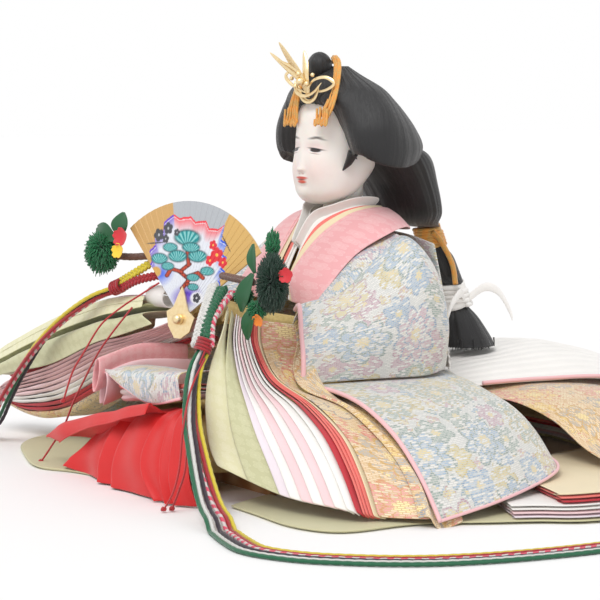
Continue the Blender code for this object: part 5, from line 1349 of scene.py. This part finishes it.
tiara = [strip_of(f"tiara_strip_{k}", np.array(route) / 1000, wide / 1000, gilt, tiara_front)
         for k, (route, wide) in enumerate(TIARA_STRIPS)]
tiara += [bead((x / 1000, y / 1000, z / 1000), size / 1000, gilt) for x, y, z, size in TIARA_BEADS]
finished("tiara_gilt", tiara, "tiara", "head")

FOREHEAD_ROUTE = [(-9.0, -20.2, 158.8), (-7.8, -20.4, 165.5), (-6.6, -19.6, 172), (-5.5, -17.4, 178.5),
                  (-4.5, -11.5, 184.8), (0, -4.6, 186.2), (6.5, -7.6, 188.3), (12.2, -10.0, 184.6),
                  (16.6, -14.2, 175.5), (17.6, -18.0, 166.5), (15.0, -20.9, 159.4)]
route = np.array(FOREHEAD_ROUTE) / 1000
# how far each route point is down the hanging ends, from 0 to 1
low = np.clip(1 - (route[:, 2:3] - 0.1584) / 0.016, 0, 1) ** 1.2
strands = []
for k in range(5):
    place = k - 2
    push = np.sign(route[:, :1]) * np.array([[1, 0, 0]]) * place * (0.0010 + 0.0011 * low)
    own = route + push + low * np.array([[0, -0.0004, 0]]) * abs(place)
    own = own + np.array([[0, 0, 0.0007]]) * (place % 2)
    strands.append(tube(f"forehead_cord_{k}", own, 0.0013, GOLD_CORD, step=0.0006, lobes=2, lay=0.003)[0])
    for way, end in ((1, own[-1]), (-1, own[0])):
        loop = [end + (0, 0, 0.001), end + (0.0006 * way, -0.0006, -0.0014),
                end + (0.0015 * way, -0.0004, -0.0012), end + (0.0016 * way, 0, 0.002),
                end + (0.0014 * way, 0.0002, 0.006)]
        strands.append(tube("loop", loop, 0.0012, GOLD_CORD, step=0.0006, ring=8)[0])
finished("forehead_cords", strands, "forehead_cord", "head")

# %% [markdown]
# ## Painted fan
# The court fan is thin white wood blades, painted as one picture: gold clouds from both
# sides, a red band, a pine and plum blossoms. The leaf is a grid in rays and rings, with
# very low blades, and its UV is its own flat place in fan radii, so that the picture is
# laid out as on paper.

# %% Fan leaf
FAN_RADIUS, FAN_OPENING, FAN_ROLL = 0.053, math.radians(95), math.radians(5.5)
FAN_YAW, FAN_LEAN = math.radians(18), math.radians(8)
fan_pivot = np.array((0.0, -0.086, 0.072))
fan_normal = np.array((math.sin(FAN_YAW) * math.cos(FAN_LEAN), -math.cos(FAN_YAW) * math.cos(FAN_LEAN),
                       math.sin(FAN_LEAN)))
fan_across = np.array((math.cos(FAN_YAW), math.sin(FAN_YAW), 0))
fan_up = np.cross(fan_normal, fan_across)
BLADES = 25


def fan_place(x, y, out=0.0):
    """Place from the rivet: across, up and out of the leaf, in fan radii."""
    return fan_pivot + FAN_RADIUS * (fan_across * x + fan_up * y + fan_normal * out)


rays, rings = BLADES * 12 + 1, 150
bearing = np.linspace(FAN_ROLL - FAN_OPENING / 2, FAN_ROLL + FAN_OPENING / 2, rays)
radius = np.linspace(0.11, 1.0, rings)
saw = (np.arange(rays) / 12) % 1.0
flat = np.stack([np.outer(np.sin(bearing), radius).ravel(), np.outer(np.cos(bearing), radius).ravel()], axis=1)
leaf = fan_pivot + FAN_RADIUS * (flat[:, :1] * fan_across + flat[:, 1:] * fan_up)
points = np.concatenate([leaf + FAN_RADIUS * np.repeat(0.004 + 0.004 * saw, rings)[:, None] * fan_normal,
                         leaf - FAN_RADIUS * 0.008 * fan_normal])
faces = []
for side in (0, rays * rings):
    for i in range(rays - 1):
        for j in range(rings - 1):
            quad = [side + i * rings + j, side + i * rings + j + 1, side + (i + 1) * rings + j + 1,
                    side + (i + 1) * rings + j]
            faces.append(quad if side == 0 else quad[::-1])
edge = [i * rings for i in range(rays)] + [(rays - 1) * rings + j for j in range(1, rings)]
edge += [i * rings + rings - 1 for i in range(rays - 2, -1, -1)] + list(range(rings - 2, 0, -1))
for k, low in enumerate(edge):
    high = edge[(k + 1) % len(edge)]
    faces.append([low, high, high + rays * rings, low + rays * rings])

# %% [markdown]
# The picture is painted on the leaf's own points, a fraction of a millimetre apart, one
# colour over another as the painter lays them: the shaded clouds first, then trunk, pine
# and plum. A mask is a share of colour for each point, worked out from its place on the
# leaf in fan radii.

# %% Fan picture
across_leaf, up_leaf = flat[:, 0], flat[:, 1]
out_leaf = np.hypot(across_leaf, up_leaf)
turn_share = (np.arctan2(across_leaf, up_leaf) - FAN_ROLL) / (FAN_OPENING / 2)
picture = np.tile(np.array(linear("#e3e6ee")[:3]), (len(flat), 1))


def lay_on(code, mask):
    """Paint a colour over the picture wherever the mask is above 0."""
    picture[:] = picture + (np.array(linear(code)[:3]) - picture) * np.clip(mask, 0, 1)[:, None]


def dab(x, y, wide, high, turn=0.0, soft=0.15):
    """Share of paint in one round dab of a brush."""
    dx, dy = across_leaf - x, up_leaf - y
    reach = np.hypot((dx * math.cos(turn) + dy * math.sin(turn)) / wide,
                     (dy * math.cos(turn) - dx * math.sin(turn)) / high)
    return np.clip((1 + soft - reach) / (2 * soft), 0, 1)


def flower(x, y, size, code, heart_code):
    """Five round petals and a heart."""
    for k in range(5):
        angle = 2 * math.pi * k / 5 + x * 9
        lay_on(code, dab(x + size * 0.55 * math.cos(angle), y + size * 0.55 * math.sin(angle), size * 0.42, size * 0.42))
    lay_on(heart_code, dab(x, y, size * 0.20, size * 0.20))


def pine_tuft(x, y, wide, high):
    """A fan of needles: dark ground, and lighter strokes that spread from its foot."""
    lay_on("#0d3f46", dab(x, y, wide * 1.12, high * 1.2))
    angle = np.arctan2(across_leaf - x, up_leaf - y + high * 1.3)
    strokes = np.clip(np.sin(angle * 24 / wide * 0.09) * 1.6 + 0.3, 0, 1)
    lay_on("#178f93", dab(x, y, wide, high))
    lay_on("#9adbd8", dab(x, y, wide * 0.95, high * 0.93) * strokes * 0.8)


CLOUD_EDGE = [(-1.0, 0.60), (-0.93, 0.61), (-0.90, 0.70), (-0.76, 0.71), (-0.72, 0.78), (-0.56, 0.79), (-0.52, 0.86),
              (-0.36, 0.90), (-0.28, 0.86), (-0.10, 0.87), (-0.02, 0.83), (0.14, 0.86), (0.22, 0.81), (0.36, 0.84),
              (0.42, 0.90), (0.47, 0.78), (0.58, 0.79), (0.61, 0.69), (0.71, 0.70), (0.74, 0.60), (0.84, 0.61),
              (0.88, 0.52), (1.0, 0.50)]
edge_out = np.interp(turn_share, *zip(*CLOUD_EDGE))
below_edge = edge_out - out_leaf
for start, end, fill, tint in ((-2, -0.36, "#cfa568", "#6a3fc8"), (-0.36, 0.42, "#b4b8bd", "#ee3f4b"),
                                (0.42, 2, "#d9b069", "#2f63e0")):
    here = ((turn_share >= start) & (turn_share < end)).astype(float)
    lay_on(tint, here * np.clip(1 - below_edge / 0.13, 0, 1) ** 0.9)
    lay_on("#f2f2f6", here * (below_edge < 0.026) * 0.6)
    lay_on(tint, here * (below_edge < 0.018))
    lay_on(fill, here * (below_edge < 0.0))
lay_on("#2f63e0", dab(-0.27, 0.37, 0.10, 0.07, 0.3, 0.7) * 0.9)
lay_on("#d6a95c", dab(-0.33, 0.385, 0.06, 0.045))
lay_on("#6a49c8", dab(0.03, 0.20, 0.12, 0.07, 0.2, 0.6))
lay_on("#9c82e0", dab(0.0, 0.17, 0.07, 0.035, 0.2, 0.4))
lay_on("#f0f0f4", dab(0.15, 0.19, 0.07, 0.05))
flower(0.15, 0.19, 0.045, "#4b4c52", "#d8d8dc")
for bend in (((-0.02, 0.26), (0.05, 0.34), (-0.06, 0.40), (0.04, 0.47)), ((0.02, 0.36), (0.14, 0.40), (0.20, 0.36)),
             ((-0.04, 0.40), (-0.16, 0.42), (-0.20, 0.36)), ((0.03, 0.30), (0.13, 0.27)), ((0.03, 0.46), (0.0, 0.60))):
    way = np.concatenate([np.linspace(p, q, 9) for p, q in zip(bend[:-1], bend[1:])])
    for x, y in way:
        lay_on("#5a1d18", dab(x, y, 0.024, 0.017, 0, 0.2))
    for x, y in way:
        lay_on("#c0492f", dab(x, y, 0.015, 0.010, 0, 0.3))
for place in ((-0.30, 0.50, 0.085, 0.040), (-0.19, 0.60, 0.075, 0.034), (-0.10, 0.53, 0.095, 0.044),
              (0.12, 0.54, 0.095, 0.044), (-0.01, 0.69, 0.130, 0.058), (0.04, 0.61, 0.09, 0.036),
              (-0.20, 0.44, 0.065, 0.030), (0.24, 0.42, 0.070, 0.032), (0.09, 0.36, 0.065, 0.028),
              (0.10, 0.28, 0.055, 0.026)):
    pine_tuft(*place)
lay_on("#4b4a4d", dab(-0.36, 0.63, 0.10, 0.006, 0.10))
lay_on("#4b4a4d", dab(0.42, 0.66, 0.09, 0.006, -0.9))
for x, y, size in ((-0.33, 0.70, 0.060), (-0.23, 0.76, 0.055), (-0.25, 0.67, 0.040), (-0.13, 0.73, 0.034)):
    flower(x, y, size, "#4a4b50", "#b9bac0")
for x, y, size in ((0.28, 0.64, 0.045), (0.33, 0.56, 0.070), (0.40, 0.50, 0.050), (0.26, 0.51, 0.050)):
    flower(x, y, size, "#e2303c", "#f7c95b")
wood = np.random.RandomState(8).rand(len(flat))[:, None] * 0.05
picture = picture * (0.97 + wood)
back_side = np.tile(np.array(linear("#e9e4da")[:3]), (len(flat), 1)) * (0.97 + wood)

paint, tree = new_finish("painted_fan_wood", Roughness=0.5)
laid = add(tree, "VertexColor").outputs["Color"]
laid.node.layer_name = "picture"
grain = add(tree, "TexNoise", {"Vector": add(tree, "TexCoord").outputs["UV"], "Scale": 60.0,
                                         "Detail": 4.0})
worn_paint = add(tree, "MapRange", {0: grain.outputs["Fac"], 3: 0.90, 4: 1.0}).outputs[0]
faded = add(tree, "Mix", {0: 1.0, 6: laid, 7: worn_paint}, data_type="RGBA", blend_type="MULTIPLY")
coat(tree, faded.outputs[2], grain.outputs["Fac"], 0.15, 0.0002)
fan = place_mesh("fan_leaf_painted", points, faces, paint, np.concatenate([flat, flat]))
colours = np.ones((2 * len(flat), 4), np.float32)
colours[:, :3] = np.concatenate([picture, back_side])
laid_on = fan.data.color_attributes.new(name="picture", type="FLOAT_COLOR", domain="POINT")
laid_on.data.foreach_set("color", colours.ravel())
fan.data.set_sharp_from_angle(angle=math.radians(30))
fan = face_out(fan)
fan.data.set_sharp_from_angle(angle=math.radians(30))
finished("fan_leaf_painted", [fan], "fan_leaf")
finish_node("fan_plate", gilt)
rivet = bead(fan_place(0, 0, 0.05), 0.0024, gilt, 20, 12)
rivet.name = "fan_rivet"
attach(rivet, "figure")

# %% [markdown]
# ## Silk flowers at the fan's ends
# At both guards of the fan sits a small bunch: silk leaves and blossoms, a pompom of
# green silk floss on a brown stem, and the braids that lead to the long cords. Floss is
# many loose threads, so the pompoms are made of thin tapered strands.

# %% Silk flowers
FLOSS = cord_silk("green_silk_floss", "#12804a")
DARK_FLOSS = cord_silk("dark_green_silk_floss", "#0b3d29")
LEAF_SILK = silk("green_leaf_silk", "#17552f", roughness=0.45, sheen=0.2)[0]
YELLOW_SILK = silk("yellow_flower_silk", "#f0c93a")[0]
ORANGE_FLOWER = silk("orange_flower_silk", "#e9852c")[0]
RED_FLOWER = silk("red_flower_silk", "#cf2f38")[0]
STEM_SILK = cord_silk("brown_stem_silk", "#6b3f2a")


def pompom(name, centre, radius, finish, count=320, droop=0.25, seed=1, squash=(1, 1, 1)):
    """Ball of silk floss: tapered strands from the middle outwards, drooping a little."""
    dice = np.random.RandomState(seed)
    parts = []
    for k in range(count):
        z = 1 - 2 * (k + 0.5) / count
        a = k * 2.39996 + dice.rand() * 0.4
        way = np.array((math.sqrt(1 - z * z) * math.cos(a), math.sqrt(1 - z * z) * math.sin(a), z)) * squash
        reach = radius * (0.88 + 0.16 * dice.rand())
        tip = centre + way * reach - np.array((0, 0, droop * radius * dice.rand()))
        parts.append(tube(f"strand_{k}", [centre + way * radius * 0.15, centre + way * radius * 0.6, tip], 0.0008, finish,
                          step=radius * 0.3, ring=4, widths=([0, 0.6, 1], [1.0, 1.0, 0.45]))[0])
    return together(name, parts)


def petal_ring(name, centre, normal, radius, finish, count=5, cup=0.3, wide=0.62):
    """Blossom of cupped petals round a centre."""
    normal = np.asarray(normal) / np.linalg.norm(normal)
    side = np.cross(normal, (0.3, 0.2, 1.0))
    side /= np.linalg.norm(side)
    up = np.cross(normal, side)
    parts = []
    for k in range(count):
        a = 2 * math.pi * k / count
        out, along = math.cos(a) * side + math.sin(a) * up, -math.sin(a) * side + math.cos(a) * up
        share = np.linspace(0, 1, 6)[:, None]
        middle = centre + out * radius * share + normal * radius * cup * share ** 2
        spread = radius * wide * np.sin(np.pi * np.clip(share * 0.8 + 0.08, 0, 1)) * 0.9
        lines = np.array([middle - along * spread + normal * 0.12 * radius * share, middle,
                          middle + along * spread + normal * 0.12 * radius * share])
        parts.append(layer(f"petal_{k}", lines, finish, steps=(6, 8), thickness=0.00035, wave=0.0, facing=-1))
    return parts


def leaf_blade(name, foot, tip, normal, wide, finish, bend=0.15):
    foot, tip, normal = (np.asarray(a, float) for a in (foot, tip, normal))
    side = np.cross(tip - foot, normal)
    side /= np.linalg.norm(side)
    share = np.linspace(0, 1, 8)[:, None]
    middle = foot + (tip - foot) * share + normal * np.linalg.norm(tip - foot) * bend * np.sin(np.pi * share)
    spread = wide / 2 * np.sin(np.pi * np.clip(share, 0.05, 0.98)) ** 0.75
    lines = np.array([middle - side * spread + normal * 0.0006, middle, middle + side * spread + normal * 0.0006])
    return layer(name, lines, finish, steps=(8, 16), thickness=0.0004, wave=0.0002)


bunch = [tube("stem", [fan_place(0.47, 0.39, 0.08), fan_place(0.70, 0.37, 0.17), fan_place(0.94, 0.35, 0.25)], 0.0034,
              STEM_SILK, step=0.001, lobes=2, lay=0.003)[0]]
bunch += [pompom("pompom", fan_place(1.16, 0.36, 0.28), 0.0086, DARK_FLOSS, 900, droop=0.1, seed=2, squash=(0.85, 0.85, 1.55)),
          pompom("spiky", fan_place(1.12, 0.64, 0.26), 0.0050, FLOSS, 220, droop=-0.5, seed=3, squash=(0.7, 0.7, 1.3)),
          pompom("bunch", fan_place(0.84, 0.24, 0.23), 0.0046, FLOSS, 260, seed=4),
          pompom("low_bunch", fan_place(1.02, 0.14, 0.27), 0.0046, FLOSS, 220, seed=14)]
bunch += petal_ring("yellow", fan_place(0.88, 0.30, 0.27), fan_normal, 0.0028, YELLOW_SILK)
bunch += petal_ring("orange", fan_place(1.07, 0.05, 0.30), fan_normal + (0, 0, -0.4), 0.0027, ORANGE_FLOWER)
bunch += petal_ring("red", fan_place(1.31, 0.42, 0.30), fan_normal + (0.4, 0, 0), 0.0032, RED_FLOWER)
bunch += [leaf_blade("leaf_low", fan_place(0.99, 0.16, 0.28), fan_place(0.95, -0.12, 0.26), fan_normal, 0.0068, LEAF_SILK),
          leaf_blade("leaf_side", fan_place(0.96, 0.42, 0.28), fan_place(0.86, 0.10, 0.26), fan_normal, 0.0080, LEAF_SILK),
          leaf_blade("leaf_top", fan_place(0.98, 0.42, 0.28), fan_place(0.92, 0.66, 0.26), fan_normal, 0.0050, LEAF_SILK)]
finished("ornament_left_silk", bunch, "ornament_left")
far_bunch = [tube("stem", [fan_place(-0.90, 0.50, -0.02), fan_place(-0.68, 0.50, -0.05), fan_place(-0.46, 0.52, -0.062)],
                  0.0034, STEM_SILK, step=0.001, lobes=2, lay=0.003)[0],
             pompom("tassel", fan_place(-0.98, 0.55, 0.0), 0.0098, FLOSS, 1000, droop=0.35, seed=5, squash=(0.95, 0.8, 1.0)),
             leaf_blade("leaf_a", fan_place(-0.74, 0.66, 0.03), fan_place(-0.74, 0.88, 0.02), fan_normal, 0.0105, LEAF_SILK),
             leaf_blade("leaf_b", fan_place(-0.80, 0.64, 0.02), fan_place(-1.06, 0.74, 0.0), fan_normal, 0.0095, LEAF_SILK)]
far_bunch += petal_ring("far_red", fan_place(-0.70, 0.66, 0.07), fan_normal, 0.0042, RED_FLOWER)
far_bunch += petal_ring("far_yellow", fan_place(-0.72, 0.54, 0.07), fan_normal, 0.0034, YELLOW_SILK)
finished("ornament_right_silk", far_bunch, "ornament_right")

# %% [markdown]
# ## Braids, knots and threads
# Short flat braids lead from the fan to the knots where the long cords start. A braid of
# three strands is three waves that take turns in front, which three tubes can do as the
# real cords do. Red silk binds the knots, and thin red threads hang from the flowers.

# %% Braids
def braid(name, route, width, finish, pitch=0.0062):
    """Three strands that cross over each other along a route."""
    middle, length = spaced(route, 0.0006)
    ahead = np.gradient(middle, axis=0)
    ahead /= np.linalg.norm(ahead, axis=1, keepdims=True)
    side = np.cross(ahead, fan_normal)
    side /= np.linalg.norm(side, axis=1, keepdims=True)
    up = np.cross(side, ahead)
    phase = np.linspace(0, 2 * math.pi * length / pitch, len(middle))[:, None]
    parts = []
    for k in range(3):
        turn = phase + 2 * math.pi * k / 3
        own = middle + side * np.sin(turn) * width * 0.30 + up * np.sin(2 * turn) * width * 0.16
        parts.append(tube(f"strand_{k}", own, width * 0.42, finish, step=0.0006, ring=8)[0])
    return together(name, parts)


near_knot, far_knot = np.array((0.0485, -0.1040, 0.0662)), np.array((-0.0436, -0.0938, 0.0838))
near_braids = [braid("braid", [fan_place(*top), fan_place(*top) + (near_knot - fan_place(*top)) * 0.5
                               + fan_normal * 0.003, near_knot + fan_across * shift], wide, finish)
               for top, shift, wide, finish in (((0.50, 0.30, 0.21), -0.0040, 0.0058, CORD_COLOURS["white"]),
                                          ((0.61, 0.28, 0.23), 0.0006, 0.0060, CORD_COLOURS["green"]),
                                          ((0.70, 0.26, 0.21), 0.0038, 0.0036, CORD_COLOURS["pink"]))]
far_braids = [braid("braid", [fan_place(*top), fan_place(*top) + (far_knot - fan_place(*top)) * 0.5 + fan_normal * 0.0015,
                              far_knot + fan_up * shift], 0.0042, finish)
              for top, shift, finish in (((-0.46, 0.47, -0.09), 0.0016, CORD_COLOURS["yellow"]),
                                         ((-0.38, 0.36, -0.09), -0.0018, CORD_COLOURS["red"]))]
for parts, knot, node in ((near_braids, near_knot, "braid_left"), (far_braids, far_knot, "braid_right")):
    way = np.array(CORDS_LEFT[1] if node == "braid_left" else CORDS_RIGHT[1]) - knot
    way /= np.linalg.norm(way)
    side = np.cross(way, (0, 0, 1.0))
    side /= np.linalg.norm(side)
    up = np.cross(side, way)
    angles = np.linspace(0, 2 * math.pi * 4, 100)[:, None]
    share = np.linspace(-0.5, 0.5, 100)[:, None]
    coil = knot + way * share * 0.0058 + 0.0037 * (side * np.cos(angles) + up * 0.75 * np.sin(angles))
    binding = tube("binding", coil, 0.0015, CORD_COLOURS["red"], step=0.0008, ring=7)[0]
    finished(node + "_silk", parts + [binding], node)

# %% Threads
THREAD_DIAMETER = 0.0009
RED_THREAD = cord_silk("red_silk_thread", "#c92a30")
THREAD_RIGHT_KNOT = np.array([(-18, -101, 76.7), (-30, -105, 64), (-38, -108, 54), (-45, -111, 42), (-52, -113, 31),
                              (-58, -115, 19), (-66, -118, 8), (-70, -121, 1)]) / 1000
THREAD_LEFT_KNOT = np.array([(52.6, -106, 64.6), (51, -112, 49), (64.7, -122, 35), (69.8, -126, 19.5), (66, -127, 9.3),
                             (62, -128, 1)]) / 1000
THREADS = {"thread_left_near": ("thread_left", [(0.0560, -0.1080, 0.0620), (0.0570, -0.1140, 0.0530), (0.0600, -0.1190, 0.0450),
                            (0.0660, -0.1250, 0.0340),
                            (0.0698, -0.1290, 0.0195), (0.0680, -0.1310, 0.0093), (0.0620, -0.1320, 0.0012)]),
           "thread_right_fan": ("thread_right", [(-0.0137, -0.0894, 0.0876), (-0.0200, -0.0955, 0.0820),
                            (-0.0255, -0.1010, 0.0770), (-0.0299, -0.1080, 0.0705),
                            (-0.0336, -0.1110, 0.0649), (-0.0375, -0.1150, 0.0557),
                            (-0.0394, -0.1200, 0.0467), (-0.0414, -0.1240, 0.0331)]),
           "thread_right_knot": ("thread_right", THREAD_RIGHT_KNOT), "thread_left_knot": ("thread_left", THREAD_LEFT_KNOT)}
for name, (node, route) in THREADS.items():
    thing, path, length = tube(name, route, THREAD_DIAMETER, RED_THREAD, step=0.0008, ring=6)
    end_knot = knot_of("knot_" + name, path[-1] + (0, 0, 0.0004), 0.0007, RED_THREAD)
    hang(thing, length, end_knot, node, stands_in=not name.endswith("knot"))

# %% [markdown]
# ## Jacket fronts, cuff and small parts
# Between the lapels and the sleeves the jacket closes over the shoulders. The white
# inner cuff shows at the fan hand. What is left of the CAD model, such as the board and
# the hands, only gets its material.

# %% Jacket fronts and cuff
PANEL_SHARES = [
    [(26.2, 2, 137.2), (24.4, -16, 126.2), (22.8, -30, 109.5), (22.2, -38, 97.5), (21.5, -46, 90)],
    [(30, 1, 136.5), (28.5, -16, 124.5), (27, -32, 108.5), (26.5, -44, 98.5), (25, -50, 92)],
    [(33.5, -1, 134.5), (32.5, -16, 120.5), (31.2, -34, 105.5), (31, -53, 99.5), (30.5, -58, 90)],
]
for side_name, side in (("left", 1), ("right", -1)):
    panel = layer(f"jacket_shoulder_{side_name}", lines_of(PANEL_SHARES, side), BLUE_BROCADE, steps=(14, 34),
                  facing=-side, thickness=0.0007, wave=0.0003, seed=120.0)
    sewn(panel.name, [panel], [])

turns = np.linspace(0, 2 * math.pi, 15)
cuff_ends = np.array([(-0.0177, -0.0810, 0.0800), (-0.0325, -0.0810, 0.0800)])
ring_path = np.array([cuff_ends[0] + (cuff_ends[1] - cuff_ends[0]) * s for s in np.linspace(0, 1, 6)])
cuff_lines = np.array([ring_path + (0, 0.0042 * math.cos(a), 0.0042 * math.sin(a)) for a in turns])
cuff = layer("cuff_right_cloth", cuff_lines, WHITE_SILK, steps=(28, 14), thickness=0.0006, wave=0.0003, seed=130.0)
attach(cuff, "figure")
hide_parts("cuff_right")

under = []
for share, drop in ((1.0, -0.0010), (0.90, 0.0010), (0.80, 0.0040)):
    ring = collar_lines[0] * (share, share, 1)
    under.append(ring - (0, 0, drop))
under_collar = layer("under_collar", np.array(under), WHITE_SILK, run=(0, 1), span=(0.12, 0.88), steps=(8, 60),
                     facing=1, thickness=0.0005, wave=0.0001, seed=140.0)
sewn("under_collar", [under_collar], [])

# %% Board, straw and hands
pine, tree = new_finish("pine_board", Roughness=0.6)
place = add(tree, "TexCoord").outputs["Object"]
rings = add(tree, "TexWave", {"Vector": place, "Scale": 18.0, "Distortion": 5.0, "Detail": 3.0})
grown = painted(tree, "#b98a58", rings.outputs["Fac"], "#d9b483")
tree.links.new(grown, tree.nodes["Principled BSDF"].inputs["Base Color"])
straw, tree = new_finish("bound_straw", Roughness=0.85)
place = add(tree, "TexCoord").outputs["Object"]
thin = add(tree, "Mapping", {"Vector": place, "Scale": (900, 900, 30)}).outputs[0]
stalks = add(tree, "TexNoise", {"Vector": thin, "Scale": 1.0, "Detail": 3.0}).outputs["Fac"]
coat(tree, painted(tree, "#a98f52", stalks, "#d8c487"), stalks, 0.6, 0.0006)
for name, finish in (("base_board", pine), ("neck_peg", pine), ("body_core", straw), ("hand_left", gofun),
                     ("hand_right", gofun)):
    finish_node(name, finish)
